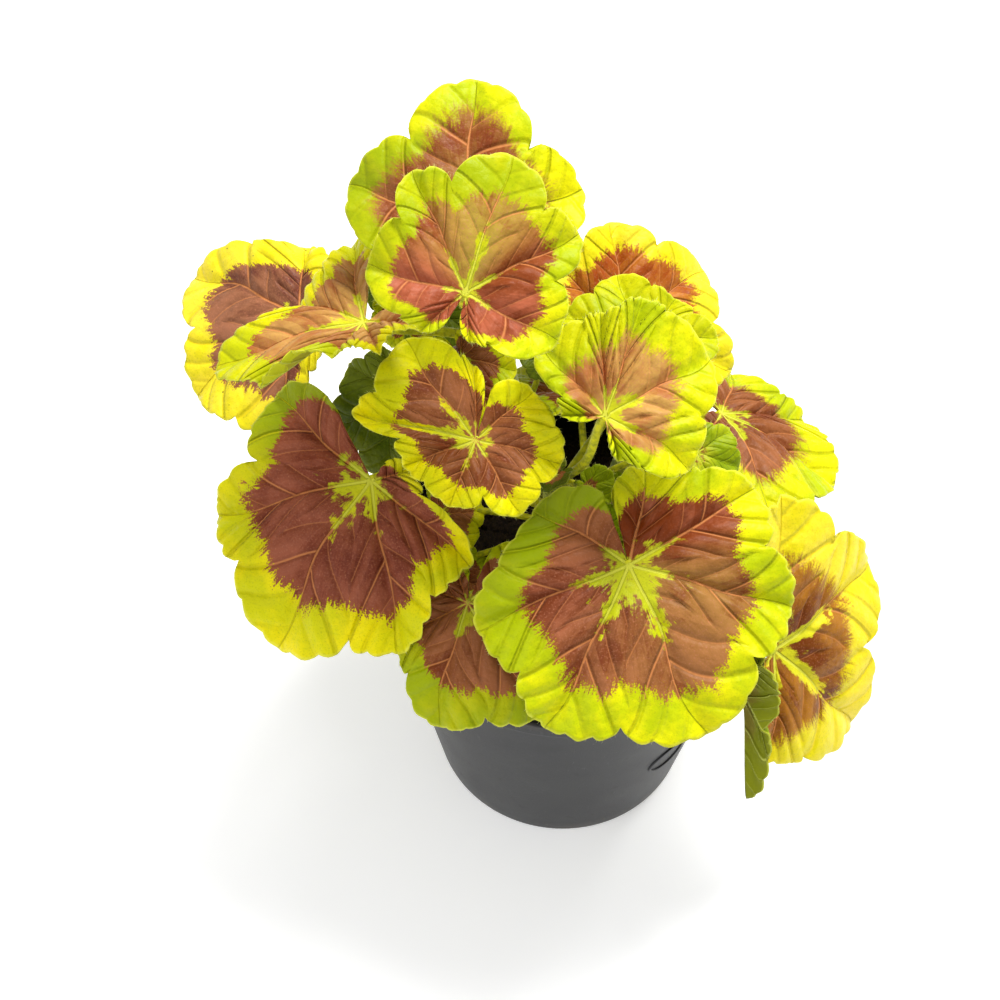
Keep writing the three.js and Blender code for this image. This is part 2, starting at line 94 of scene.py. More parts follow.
# Soil, in mm
SOIL_TOP = 83
SOIL_MOUND = 3
SEAT = 0.3
FACET_ROOM = 0.15
SOIL_LUMPS = {"height": 0.5, "x": 0.31, "y": 0.27}
SOIL_RIDGES = {"height": 0.4, "x": 0.19, "y": 0.33}
SOIL_GRAIN = {"size": 5, "height": 1.2, "layer": 3.7, "rough": (0.9, 2.1, 5)}
SOIL_SUNK = 0.4
SOIL_RINGS = 60
SOIL_SPOKES = 160

# Loose crumbs of soil: how many, the seed of their draws, the least size in mm and how much more there
# is, how flat they are and how far they stand out, as shares, and the room by the wall in mm. Then how
# far out their corners are at least and how much more, as shares, and the most they turn, in radians.
CRUMBS = 650
CRUMB_SEED = 7
CRUMB = {"least": 0.4, "more": 1.1, "flat": 0.7, "sunk": 0.3, "from_wall": 2}
CRUMB_SHAPE = {"corner": 0.6, "stray": 0.8, "turn": 6.28}

# Leaves: the blade's thickness in mm, and the share by which it thins at the margin. Then the depths
# of its cuts, dishes and waves as shares of its radius, with how fast each fades from the margin to
# the stalk.
BLADE = 0.7
RIM_THIN = {"depth": 0.5, "fade": 14}
CUT = {"depth": 0.12, "sharpness": 0.6, "fade": 3}
TOOTH = {"depth": 0.024, "sharpness": 0.8, "fade": 10}
FRILL = {"depth": 0.005, "turn": 2.6, "sway": 1.7, "fade": 20}
CUP = -0.08
DIMPLE = {"depth": 0.07, "spread": 0.2}
FOLD_ROUND = 0.14
PLEAT = {"depth": 0.04, "sharpness": 0.8, "fade": 1.3}
WAVE = {"depth": 0.05, "turn": 1.35, "start": 1.9, "fade": 3}
RIPPLE = {"depth": 0.02, "turn": 3.3, "start": 1, "fade": 4}

# How finely a blade is made: leaves of this radius and more have five teeth to a lobe, the others
# three, and the rings of points between stalk and margin grow with the radius
LARGE_LEAF = 34
LARGE_TEETH = 5
SMALL_TEETH = 3
TOOTH_STEPS = 8
RINGS = ((34, 32), (15, 20), (0, 12))

# Leaf stalks, in mm: their radius and its growth with the leaf, the swelling at both ends and the
# taper, as shares, then how each leaves the shoot and arrives
STALK_RADIUS = 0.75
STALK_GROWTH = 0.013
STALK_FOOT = {"swell": 0.3, "length": 0.1}
STALK_HEAD = {"swell": 0.2, "length": 0.04}
STALK_TAPER = 0.12
STALK_UNDER = 0.07
LEAVE = {"outwards": 0.7, "upwards": 0.7, "reach": 0.5}
ARRIVE = {"normal": 0.85, "midrib": 0.5, "reach": 0.25}
STALK_STEPS = 40
STALK_SIDES = 14

# Hairs: their size in mm, how deep their feet are in the stalk, as a share of its radius, how much
# they stray, the part of a stalk that has them, how many it has, and how many a margin has for each
# mm of the leaf's radius
HAIR = {"length": 0.6, "radius": 0.05, "foot": 0.85, "stray": 0.4}
HAIRY_PART = (0.08, 0.97)
STALK_HAIRS = 170
RIM_HAIRS = 7

# Side veins: how many leave a main vein from the stalk to the margin, how steeply they swing
# outwards, how far those of a lobe's two halves are set apart, and which one is a strong fork
SIDE_VEINS = 5
VEIN_SWING = 1.1
VEIN_SHIFT = 0.25
FORK = 2

# How veins bend: by how much, and how fast along each of the blade's axes
VEIN_BEND = {"amount": 0.07, "x": 7, "y": 6}
VEIN_SLIP = {"amount": 0.06, "x": 5, "y": 4}

# How far the blade bulges between its veins, and sinks along the main ones, in mm. Each grows over a
# part of the way from the stalk, and leaves of less than the full radius have less of it.
PUCKER = {"height": 0.8, "beside": 0.16, "grows": (0.08, 0.35)}
GROOVE = {"depth": 0.5, "width": 1.5, "grows": (0.1, 0.3)}
PUCKER_FULL = 40

# The skin's relief in mm: the size and the depth of its small cells, and the depth of its grain. Then
# the crumbs that lie on it: how far apart in mm, the share of those places that have one, and how they
# show.
QUILT = {"size": 2.2, "depth": 0.2, "grain": 0.2}
SPECKS = {"apart": 3.5, "share": 0.3, "edge": (0.075, 0.05), "shown": 0.85}

# How veins are drawn, on leaves of the full radius: their half-widths and their depths in mm, how
# strongly they show, and how weak a side vein is beside a fork
VEIN_FULL = 45
MAIN_VEIN = {"width": 0.45, "taper": 0.3, "outside": 0.15, "inside": 0.2, "shown": 0.8, "sunk": 0.25}
SIDE_VEIN = {"width": 0.5, "core": 0.05, "valley": 1.3, "shown": 0.7, "sunk": 0.55, "weak": 0.45}
SIDE_SPREAD = 0.8
SIDE_GROWS = (0.1, 0.25)
FORK_FADE = (1.2, 0.2)

# The tones that vary a blade, each with its size in mm, its detail and its roughness, and the width
# in mm of the narrow blocks that run outwards
TONES = {
    "broad": (13, 2.0, 0.5),
    "blotch": (3.5, 4.0, 0.6),
    "fine": (1.8, 3.0, 0.6),
    "grain": (0.5, 1.0, 0.5),
}
BLOCK = 1.2

# How far each tone moves the edge of the brown zone and of the star, as a share of the radius, and
# how much each one shades the brown
ZONE_TEAR = {"streak": 0.015, "edge_block": 0.035, "edge_patch": 0.03, "broad": 0.1, "grain": 0.08}
STAR_TEAR = {"streak": 0.05, "star_block": 0.04, "star_patch": 0.03, "blotch": 0.4}
BROWN_TONE = {"fine": 0.14, "tone_patch": 0.1, "tone_block": 0.05}
STAR_SOFT = 0.05

# The zone draws back by a share between two lobes, and the star does so from here to there beside a
# main vein, in lobes. The zone's edge has a fringe, and the margin a pale rim.
ZONE_NOTCH = {"depth": 0.1, "sharpness": 0.8}
STAR_SIDE = (0.02, 0.3)
FRINGE_WIDTH = 0.06
FRINGE_SHARE = 0.35
RIM_FROM = 0.975
RIM_SHARE = 0.5

# Directions that no tube and no hair runs along, and a small step along a curve
ASKEW = (0.3, 0.9, 0.1)
HAIR_ASKEW = (0.31, 0.52, 0.8)
SMALL_STEP = 0.01

# Shoots: how much thinner they are between their joints and at the tip, as shares, then the radius
# and the curve of each one's axis, in mm
KNUCKLE = {"depth": 0.07, "count": 5}
SHOOT_TIP = {"depth": 0.9, "from": 0.93}
SHOOT_STEPS = 120
SHOOT_SIDES = 32
SHOOTS = {
    "front": (3.8, [(0, 4, 78), (1, 3, 95), (-4, 0, 112), (-5, -4, 134)]),
    "back": (3.8, [(-1, 6, 78), (-6, 10, 110), (-20, 22, 140), (-24, 20, 178)]),
    "right": (3.6, [(1, 6, 78), (8, 11, 95), (18, 22, 110), (21, 25, 130)]),
}

# Leaf table, in mm and degrees.
# at: the stalk's end.
# pose: the way the upper face looks, round from the front towards +X, then its lean from straight up,
#   then the turn of the tip from straight down the slope.
# root: the shoot, and the share of its length at which the stalk leaves it.
# lobes: how far each lobe reaches, from the left one beside the gap round to the right one.
# cuts: where each cut between two lobes is, and its depth. Without them they are even, and as deep as
#   notch.
# gap, cup, fold, width, drop: half of the gap, the bend of the rim, the fold about the midrib, the
#   narrowing of a rolled blade, and how steeply a stalk comes down.
PLAIN_ROW = dict(gap=10, cup=CUP, fold=0, notch=CUT["depth"], width=1, drop=0)
LEAVES = {
    "front_large": dict(
        at=(13, -28, 130), pose=(10, 36, -12), root=("front", 0.8),
        lobes=(25, 37, 42.5, 46, 45, 40.5, 27), gap=3,
        cuts=((-123, 0.05), (-78, 0.14), (-33, 0.15), (24, 0.12), (67, 0.11), (110, 0.03)),
    ),
    "left_large": dict(
        at=(-52, -2, 130), pose=(-40, 30, -20), root=("front", 0.62),
        lobes=(12, 36, 45, 49.5, 44.5, 36), gap=38,
        cuts=((-86, 0.3), (-47, 0.1), (-9, 0.12), (46, 0.13), (86, 0.22)),
    ),
    "centre_small": dict(
        at=(-24, -11, 158), pose=(20, 30, 30), root=("front", 0.9),
        lobes=(18, 21, 20.5, 17, 18.5, 30, 29, 18), gap=2.5, cup=0.03,
        cuts=((-112, 0.05), (-68, 0.12), (-18, 0.25), (38, 0.07), (75, 0.22), (100, 0.1), (155, 0.16)),
    ),
    "right_furrowed": dict(
        at=(6, -10, 166), pose=(20, 30, -129), root=("front", 0.97),
        lobes=(10.5, 23.5, 24.5, 30, 29.5, 24, 11), gap=35,
        cuts=((-104, 0.35), (-48, 0.05), (-27, 0.05), (-4, 0.03), (56, 0.13), (113, 0.14)),
    ),
    "top_front": dict(
        at=(-26, -7, 205), pose=(0, 35, 201), root=("back", 0.97),
        lobes=(13, 22, 28.5, 31.5, 28, 22.5, 11),
        cuts=((-131, 0.15), (-63, 0.17), (-28, 0.2), (23, 0.16), (62, 0.2), (136, 0.28)),
    ),
    "top_back": dict(
        at=(-26, 26, 190), pose=(0, 35, 180), root=("back", 0.88),
        lobes=(20, 30, 35.5, 28.5, 20), gap=3,
        cuts=((-106, 0.12), (-33, 0.23), (38, 0.27), (106, 0.12)),
    ),
    "left_back": dict(
        at=(-72, 46, 138), pose=(-50, 25, 0), root=("back", 0.45),
        lobes=(12, 12, 35, 36, 39.5, 21), cup=-0.2,
        cuts=((-110, 0.05), (-60, 0.25), (-16, 0.08), (43, 0.19), (100, 0.08)),
    ),
    "left_folded": dict(
        at=(-51, 10, 178), pose=(-120, 20, -70), root=("back", 0.8),
        lobes=(17, 15, 15, 29, 37.5, 22, 29), gap=40, cup=-0.02,
        cuts=((-92, 0.1), (-50, 0.1), (-5, 0.1), (12, 0.04), (52, 0.04), (100, 0.1)),
    ),
    "right_back": dict(
        at=(12, 31, 150), pose=(30, 35, -112), root=("right", 0.9),
        lobes=(18, 24, 26.5, 29.5, 33, 22, 16),
        cuts=((-120, 0.1), (-72, 0.1), (-18, 0.16), (43, 0.17), (85, 0.1), (125, 0.1)),
    ),
    "right_inner": dict(
        at=(17, 19, 156), pose=(20, 20, 180), root=("front", 0.85),
        lobes=(15, 18, 22, 20.5, 15, 19, 17),
    ),
    "right_upper": dict(
        at=(42, 33, 114), pose=(115, 30, 20), root=("right", 0.75),
        lobes=(14, 20, 30.5, 36.5, 38, 24), gap=35,
        cuts=((-105, 0.1), (-29, 0.1), (5, 0.04), (50, 0.08), (100, 0.1)),
    ),
    "right_low": dict(
        at=(54, -30, 92), pose=(45, 55, -70), root=("front", 0.4),
        lobes=(26, 41, 41.5, 43.5, 31, 14), drop=1,
        cuts=((-110, 0.1), (-49, 0.19), (16, 0.27), (80, 0.1), (125, 0.1)),
    ),
    "front_low": dict(
        at=(-27, -30, 116), pose=(-20, 36, 0), root=("front", 0.25),
        lobes=(22, 30, 34, 33, 21, 14, 12), cup=-0.2,
    ),
    "right_hanging": dict(
        at=(42.5, -42, 106), pose=(102, 90, 36), root=("front", 0.5),
        lobes=(10, 28, 24, 37, 24, 28, 10), fold=1.5, width=0.27,
    ),
    "left_shaded": dict(
        at=(-44, 21, 135), pose=(-20, 55, 0), root=("back", 0.6),
        lobes=(16, 20, 24, 26, 22, 16, 13),
    ),
    "inner_mid": dict(
        at=(-28, 9, 164), pose=(10, 30, -20), root=("back", 0.65),
        lobes=(7, 10, 14, 19, 17, 12, 8),
    ),
    "inner_dark": dict(
        at=(-8, 20, 150), pose=(30, 40, 60), root=("back", 0.55),
        lobes=(5, 6, 6, 6, 6, 6, 5),
    ),
    "right_pale": dict(
        at=(30, 0, 138), pose=(30, 35, 0), root=("front", 0.78),
        lobes=(8, 11, 12, 13, 12, 11, 8),
    ),
    "right_dark": dict(
        at=(42, 22, 104), pose=(20, 35, 0), root=("right", 0.4),
        lobes=(10, 12, 13, 14, 13, 12, 10),
    ),
    "inner_left": dict(
        at=(-34, 0, 111), pose=(20, 30, -30), root=("front", 0.45),
        lobes=(9, 11, 12, 12, 12, 11, 9),
    ),
    "inner_low": dict(
        at=(-30, -10, 98), pose=(40, 45, -30), root=("front", 0.3),
        lobes=(8, 9, 10, 10, 10, 9, 8),
    ),
    "inner_right": dict(
        at=(16, 0, 122), pose=(-10, 30, -40), root=("front", 0.72),
        lobes=(9, 12, 13, 13, 13, 12, 9),
    ),
    "bud_left": dict(
        at=(-5, -7, 138), pose=(-60, 20, 0), root=("front", 0.99),
        lobes=(5, 6, 6, 6, 6, 6, 5), fold=1,
    ),
    "bud_right": dict(
        at=(3, -8, 135), pose=(60, 20, 0), root=("front", 0.95),
        lobes=(4, 5, 6, 7, 6, 5, 4), fold=1,
    ),
    "rear_middle": dict(
        at=(-16, 66, 130), pose=(180, 35, 10), root=("back", 0.6),
        lobes=(23, 31, 35, 36, 35, 31, 23),
    ),
    "rear_right": dict(
        at=(8, 72, 108), pose=(155, 40, 0), root=("right", 0.6),
        lobes=(22, 29, 32, 33, 32, 29, 22),
    ),
    "rear_left": dict(
        at=(-40, 52, 106), pose=(215, 40, 0), root=("back", 0.3),
        lobes=(18, 24, 27, 28, 27, 24, 18),
    ),
    "rear_low": dict(
        at=(4, 50, 100), pose=(180, 30, 0), root=("right", 0.2),
        lobes=(18, 22, 25, 26, 25, 22, 18),
    ),
    "rear_top": dict(
        at=(-30, 58, 163), pose=(180, 25, 0), root=("back", 0.75),
        lobes=(16, 21, 25, 26, 25, 21, 16),
    ),
    "side_right": dict(
        at=(48, 46, 92), pose=(120, 45, 0), root=("right", 0.2),
        lobes=(14, 19, 21, 22, 21, 19, 14), drop=1,
    ),
    "inner_back": dict(
        at=(-41, 21, 164), pose=(-20, 30, 160), root=("back", 0.62),
        lobes=(8, 9, 10, 10, 10, 9, 8),
    ),
    "rear_inner": dict(
        at=(-38, 44, 146), pose=(0, 30, 0), root=("back", 0.5),
        lobes=(12, 15, 16, 16, 16, 15, 12),
    ),
}

# Colours as they show on a screen, 0 to 255: two for each margin and each brown zone, between which
# it varies
MARGINS = {
    "lime": ((178, 190, 2), (222, 216, 4)),
    "yellow": ((208, 206, 2), (240, 224, 2)),
    "green": ((118, 140, 2), (172, 184, 8)),
    # A bright gold margin that paints the light shining through backlit leaves
    "gold": ((226, 210, 16), (244, 220, 54)),
    # A dark olive margin that paints the shade on leaves lying deep among the others
    "olive": ((62, 78, 8), (98, 108, 16)),
}
ZONES = {
    "bronze": ((116, 56, 30), (158, 90, 62)),
    "maroon": ((112, 50, 34), (152, 84, 60)),
    "salmon": ((132, 58, 30), (176, 94, 64)),
    "rust": ((124, 60, 30), (174, 106, 70)),
    "plum": ((98, 48, 42), (146, 88, 70)),
    "tan": ((164, 100, 54), (202, 148, 84)),
    "flame": ((156, 68, 14), (204, 122, 36)),
    "umber": ((104, 50, 8), (166, 104, 26)),
}
WARM = (112, 44, 2)
FADED = (164, 146, 50)
FRINGE = (160, 82, 20)
ZONE_VEIN = (206, 132, 76)
# The pale pink of painted glints, small highlights on the brown zone
GLINT = (176, 112, 84)
MARGIN_VEINS = {
    "lime": (164, 170, 4),
    "yellow": (194, 186, 4),
    "green": (112, 134, 4),
    # For the bright gold margin, which is painted light through backlit leaves
    "gold": (222, 196, 20),
    # For the dark olive margin, which is painted shade
    "olive": (100, 108, 18),
}
STAR_VEIN = (206, 206, 70)
RIM = (230, 230, 80)
STAR = (188, 190, 34)
DEEP_GREEN = (122, 140, 4)
UNDERSIDES = {
    "lime": (144, 158, 44),
    "yellow": (188, 192, 30),
    "green": (120, 126, 14),
    # For the bright gold margin, which is painted light through backlit leaves
    "gold": (190, 184, 50),
    # For the dark olive margin, which is painted shade
    "olive": (92, 102, 16),
}
UNDER_ZONE = (126, 98, 48)
UNDER_VEIN = (184, 190, 88)
SPECK = (34, 24, 16)
HAIR_COLOURS = ((172, 176, 30), (222, 222, 130))
STALK_COLOURS = ((158, 160, 4), (210, 206, 16))
STALK_BROWN = (120, 96, 40)
STEM_COLOURS = ((120, 132, 34), (168, 172, 56))
STEM_WOOD = (112, 84, 50)
SOIL_COLOURS = ((14, 10, 8), (44, 33, 24))
SOIL_DAMP = (26, 19, 14)
PLASTIC = ((16, 17, 19), (28, 28, 30))
SCRATCH = (84, 85, 86)
SCUFF = (104, 102, 98)
DUST = (98, 88, 76)
PAPER = ((238, 238, 238), (244, 244, 244))

# How a blade and a stalk shine
BLADE_ROUGHNESS = 0.42
BLADE_BODY = dict(
    Specular_IOR_Level=0.1,
    Sheen_Weight=0.03,
    Sheen_Roughness=0.5,
    Sheen_Tint=(1.0, 0.96, 0.7, 1.0),
)
STALK_BODY = dict(
    Specular_IOR_Level=0.25,
    Sheen_Weight=0.05,
)

# The studio's lights: places in m, sizes in m and power in watts. Then the light from all round, the
# point that the lights face, the floor's half-width in m, its room under the pot, and how much it
# glows.
LIGHTS = {
    "key": dict(at=(0.35, 0.4, 1.1), size=0.5, watts=18),
    "fill": dict(at=(-0.7, -0.6, 0.9), size=0.9, watts=4),
}
WORLD_LIGHT = 0.58
LIT_POINT = (0, 0, 0.12)
FLOOR_HALF = 30.0
FLOOR_ROOM = 0.0002
FLOOR_GLOW = 0.33

# How each leaf is coloured, where it isn't as LOOK says. Each is one value, or one for each lobe in
# LEAVES' order.
# margin, zone: names from MARGINS and ZONES.
# edge, star: how far the brown zone and the pale star reach, as shares of the radius.
# gaps: how far the star draws back between the main veins, as a share.
# green, faded, warm: how green the margin is, how faded the brown, and how red.
# soft: how softly the brown ends, as a share of the radius.
# specks: how many crumbs of soil lie on it. pucker: how far it bulges between its veins.
LOOK = dict(
    margin="lime", zone="bronze", edge=0.7, star=0.2, gaps=0.7, green=0.1, faded=0.1, warm=0.2,
    soft=0.02, specks=0.25, pucker=1,
)
LOOKS = {
    "front_large": dict(
        edge=(0.66, 0.76, 0.74, 0.76, 0.72, 0.74, 0.7), star=(0.12, 0.26, 0.26, 0.36, 0.36, 0.32, 0.2),
        green=(0.3, 0, 0.15, 0.1, 0, 0.35, 0.9), faded=(0, 0, 0.35, 0.2, 0.1, 0, 0.1),
        warm=(0.95, 0.7, 0.2, 0.1, 0.1, 0, 0.3), gaps=0.5, soft=0.03, pucker=1.2,
    ),
    "left_large": dict(
        margin="yellow", zone="maroon",
        edge=(0.6, 0.76, 0.77, 0.74, 0.76, 0.78), star=(0.26, 0.22, 0.24, 0.26, 0.22, 0.22),
        green=(0.4, 0.2, 0, 0, 0.25, 0.9), faded=0,
        warm=(0.2, 0.2, 0.1, 0.1, 0.2, 0.3), gaps=0.5, pucker=1.2,
    ),
    "centre_small": dict(
        margin="yellow",
        edge=(0.66, 0.7, 0.72, 0.66, 0.74, 0.7, 0.72, 0.66),
        star=(0.2, 0.22, 0.24, 0.34, 0.28, 0.66, 0.3, 0.2),
        warm=(0.3, 0, 0.2, 0.4, 0.6, 0.3, 0, 0.4), gaps=0.6, specks=1,
    ),
    "right_furrowed": dict(
        zone="tan", edge=(0.5, 0.62, 0.66, 0.66, 0.66, 0.6, 0.5), star=0.3,
        green=(0.1, 0.3, 0.4, 0.2, 0, 0, 0), faded=0.3, warm=0, soft=0.07, pucker=2.2,
    ),
    "top_front": dict(
        zone="salmon",
        edge=(0.74, 0.72, 0.72, 0.72, 0.74, 0.7, 0.74), star=(0.2, 0.24, 0.3, 0.38, 0.3, 0.24, 0.2),
        green=(0, 0.3, 0.45, 0.45, 0.3, 0, 0), faded=(0, 0, 0.45, 0.85, 0.05, 0, 0),
        warm=(0.15, 0.3, 0.1, 0, 0.7, 0.6, 0.2), soft=0.05,
    ),
    "top_back": dict(
        zone="rust", edge=(0.66, 0.74, 0.8, 0.66, 0.6), green=(0.5, 0.7, 0.1, 0, 0),
        faded=(0.2, 0.1, 0.3, 0, 0), warm=(0, 0.2, 0.3, 0.5, 0), soft=0.08,
    ),
    # Backlit: its bright gold margin is painted light shining through it
    "left_back": dict(
        margin="gold", zone="plum", edge=(0.6, 0.6, 0.7, 0.74, 0.7, 0.6), star=0.08, warm=0.1,
    ),
    "left_folded": dict(
        margin="yellow", zone="tan", edge=0.76, star=0.3,
        green=(0.2, 0.2, 0.5, 0.6, 0.4, 0.2, 0.2), faded=0.2,
    ),
    # Backlit: its bright gold margin is painted light shining through it
    "right_back": dict(margin="gold", zone="flame", edge=0.76, star=0.12, soft=0.04),
    "right_inner": dict(edge=0.34, star=0.24, faded=0.5, green=0.3),
    "right_upper": dict(edge=0.66, star=0.24, warm=0.4, soft=0.06),
    # Backlit: its bright gold margin is painted light shining through it
    "right_low": dict(
        margin="gold", zone="umber", edge=(0.7, 0.62, 0.6, 0.62, 0.8, 0.8), star=0.5, gaps=0.85,
        warm=0.3, soft=0.07,
    ),
    "front_low": dict(green=0.5, warm=0.3),
    "right_hanging": dict(margin="green", zone="umber", edge=0.6, soft=0.1),
    # Leaves in deep shade: their dark olive margins are painted shade, and they have no brown zone
    "left_shaded": dict(margin="olive", edge=0, pucker=0.3),
    "inner_dark": dict(margin="olive", edge=0),
    "rear_inner": dict(margin="olive", edge=0),
    "right_dark": dict(margin="olive", edge=0),
    "right_pale": dict(margin="green", edge=0.2),
    "inner_right": dict(margin="green", edge=0.6),
    # Its dark olive margin is painted shade
    "bud_left": dict(margin="olive", edge=0.5),
    "bud_right": dict(margin="green", edge=0.3),
}


def paint(colour):
    """A colour as it shows on a screen, as the linear colour that a shader takes."""
    parts = [part / 255 for part in colour]
    linear = [part / 12.92 if part <= 0.04045 else ((part + 0.055) / 1.055) ** 2.4 for part in parts]
    return (*linear, 1.0)


def smooth(low, high, x):
    s = np.clip((x - low) / (high - low), 0, 1)
    return s * s * (3 - 2 * s)


def turned(radius, degrees, z):
    """A point in the plan, at an angle from the front (-Y) towards +X."""
    a = math.radians(degrees)
    return np.array((radius * math.sin(a), -radius * math.cos(a), z))


class Graph:
    """One material's nodes, made by short calls. A value is a number, a tuple or another node's output.

    A tone is a value from 0 to 1 that varies over the surface.
    """

    def __init__(self, name):
        self.material = bpy.data.materials.new(name)
        self.material.use_nodes = True
        self.tree = self.material.node_tree
        self.tree.nodes.clear()

    def node(self, kind, values=None, **settings):
        made = self.tree.nodes.new("ShaderNode" + kind)
        for setting, value in settings.items():
            setattr(made, setting, value)
        for socket, value in (values or {}).items():
            self.put(made.inputs[socket], value)
        return made

    def put(self, socket, value):
        if isinstance(value, bpy.types.NodeSocket):
            self.tree.links.new(value, socket)
        else:
            socket.default_value = value

    def math(self, operation, a, b=0.0, c=0.0):
        return self.node("Math", {0: a, 1: b, 2: c}, operation=operation).outputs[0]

    def times(self, a, b):
        return self.math("MULTIPLY", a, b)

    def plus(self, a, b):
        return self.math("ADD", a, b)

    def minus(self, a, b):
        return self.math("SUBTRACT", a, b)

    def vector(self, operation, a, b=(0, 0, 0)):
        return self.node("VectorMath", {0: a, 1: b}, operation=operation).outputs[0]

    def fade(self, value, none, full):
        """0 where the value is none or beyond, 1 where it is full or beyond, and smooth between."""
        sockets = {"Value": value, "From Min": none, "From Max": full}
        return self.node("MapRange", sockets, interpolation_type="SMOOTHSTEP").outputs["Result"]

    def mix(self, amount, a, b):
        return self.node("Mix", {0: amount, 6: a, 7: b}, data_type="RGBA").outputs[2]

    def tint(self, amount, base, colour):
        """The base with a share of a screen colour in it."""
        return self.mix(amount, base, paint(colour))

    def shade(self, tone, low, high, pair):
        """A tone from low to high as a colour between the two of a pair."""
        return self.mix(self.fade(tone, low, high), *(paint(colour) for colour in pair))

    def where(self):
        return self.node("TexCoord").outputs["Object"]

    def attribute(self, name):
        return self.node("Attribute", attribute_name=name).outputs

    def parts(self, vector):
        """The three parts of a vector."""
        return self.node("SeparateXYZ", {0: vector}).outputs

    def noise(self, vector, size, detail=2.0, roughness=0.5):
        """Noise whose lumps are about that size, in the vector's own unit."""
        sockets = {"Vector": vector, "Scale": 1 / size, "Detail": detail, "Roughness": roughness}
        return self.node("TexNoise", sockets).outputs["Fac"]

    def cells(self, vector, size):
        return self.node("TexVoronoi", {"Vector": vector, "Scale": 1 / size}).outputs

    def wobble(self, tone, amount):
        """A tone as a value from -amount to amount."""
        return self.math("MULTIPLY_ADD", tone, 2 * amount, -amount)

    def wobbles(self, base, tones, amounts):
        """A value, and on it one wobble for each named amount."""
        for name, amount in amounts.items():
            base = self.plus(base, self.wobble(tones[name], amount))
        return base

    def finish(self, colour, roughness, height=None, **constants):
        """The surface. height is in mm, and the constants go on the shader's own sockets."""
        sockets = {"Base Color": colour, "Roughness": roughness}
        sockets.update({name.replace("_", " "): value for name, value in constants.items()})
        if height is not None:
            bump = self.node("Bump", {"Height": height, "Distance": MM, "Strength": 1.0})
            sockets["Normal"] = bump.outputs[0]
        shader = self.node("BsdfPrincipled", sockets)
        self.node("OutputMaterial", {"Surface": shader.outputs[0]})
        return self.material


def put_in_scene(name, data):
    """A new object of the scene, at the origin."""
    made = bpy.data.objects.new(name, data)
    bpy.context.scene.collection.objects.link(made)
    return made


class Mesh:
    """Points in mm, faces and point values of one piece, gathered from several parts."""

    def __init__(self):
        self.points = []
        self.faces = []
        self.finishes = []
        self.values = []
        self.count = 0

    def add(self, points, faces, finish=0, **values):
        points = np.asarray(points, float)
        self.points.append(points)
        self.faces.extend([[self.count + i for i in face] for face in faces])
        self.finishes.extend([finish] * len(faces))
        self.values.append((len(points), values))
        self.count += len(points)

    def join(self, faces):
        """More faces of the first finish, between points that are already there."""
        self.faces.extend(faces)
        self.finishes.extend([0] * len(faces))

    def build(self, name, materials):
        data = bpy.data.meshes.new(name)
        points = np.clip(np.vstack(self.points) * MM, *CAD_BOX)
        data.from_pydata(points.tolist(), [], self.faces)
        data.polygons.foreach_set("material_index", self.finishes)
        data.polygons.foreach_set("use_smooth", [True] * len(self.faces))
        self.write_values(data)
        for material in materials:
            data.materials.append(material)
        data.update()
        piece = put_in_scene(name, data)
        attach(piece, "root")
        return piece

    def write_values(self, data):
        for key in sorted({key for _, values in self.values for key in values}):
            known = next(np.asarray(values[key]) for _, values in self.values if key in values)
            width = known.shape[1] if known.ndim > 1 else 1
            rows = [
                np.asarray(values.get(key, np.zeros((count, width))), float).reshape(count, width)
                for count, values in self.values
            ]
            kind, field = ("FLOAT_VECTOR", "vector") if width == 3 else ("FLOAT", "value")
            data.attributes.new(key, kind, "POINT").data.foreach_set(field, np.vstack(rows).ravel())


def grid_faces(rows, columns, closed=False, flip=False):
    """Four-sided faces of a grid of points, row by row. A closed grid's last column joins its first."""
    faces = []
    for j in range(rows - 1):
        for i in range(columns if closed else columns - 1):
            k = (i + 1) % columns
            a, b = j * columns, (j + 1) * columns
            face = [a + i, a + k, b + k, b + i]
            faces.append(face[::-1] if flip else face)
    return faces


def bezier(points, s):
    a, b, c, d = (np.asarray(point, float) for point in points)
    s = np.asarray(s, float)[..., None]
    return a * (1 - s) ** 3 + 3 * b * s * (1 - s) ** 2 + 3 * c * s * s * (1 - s) + d * s**3


def unit(ways):
    """Directions, one in each row, all made one long."""
    return ways / np.linalg.norm(ways, axis=1)[:, None]


def tube(path, radii, sides):
    """Points and faces of a round tube along a path, closed at both ends. Its rings don't twist."""
    path = np.asarray(path, float)
    ahead = unit(np.gradient(path, axis=0))
    across = np.cross(ahead[0], ASKEW)
    turns = 2 * math.pi * np.arange(sides) / sides
    rings = []
    for centre, way, radius in zip(path, ahead, radii):
        across = across - way * (across @ way)
        across /= np.linalg.norm(across)
        up = np.cross(way, across)
        rings.append(centre + radius * (np.outer(np.cos(turns), across) + np.outer(np.sin(turns), up)))
    points = np.vstack([*rings, path[:1], path[-1:]])
    faces = grid_faces(len(path), sides, closed=True)
    foot, head, last = len(points) - 2, len(points) - 1, (len(path) - 1) * sides
    for i in range(sides):
        k = (i + 1) % sides
        faces.append([foot, k, i])
        faces.append([head, last + i, last + k])
    return points, faces


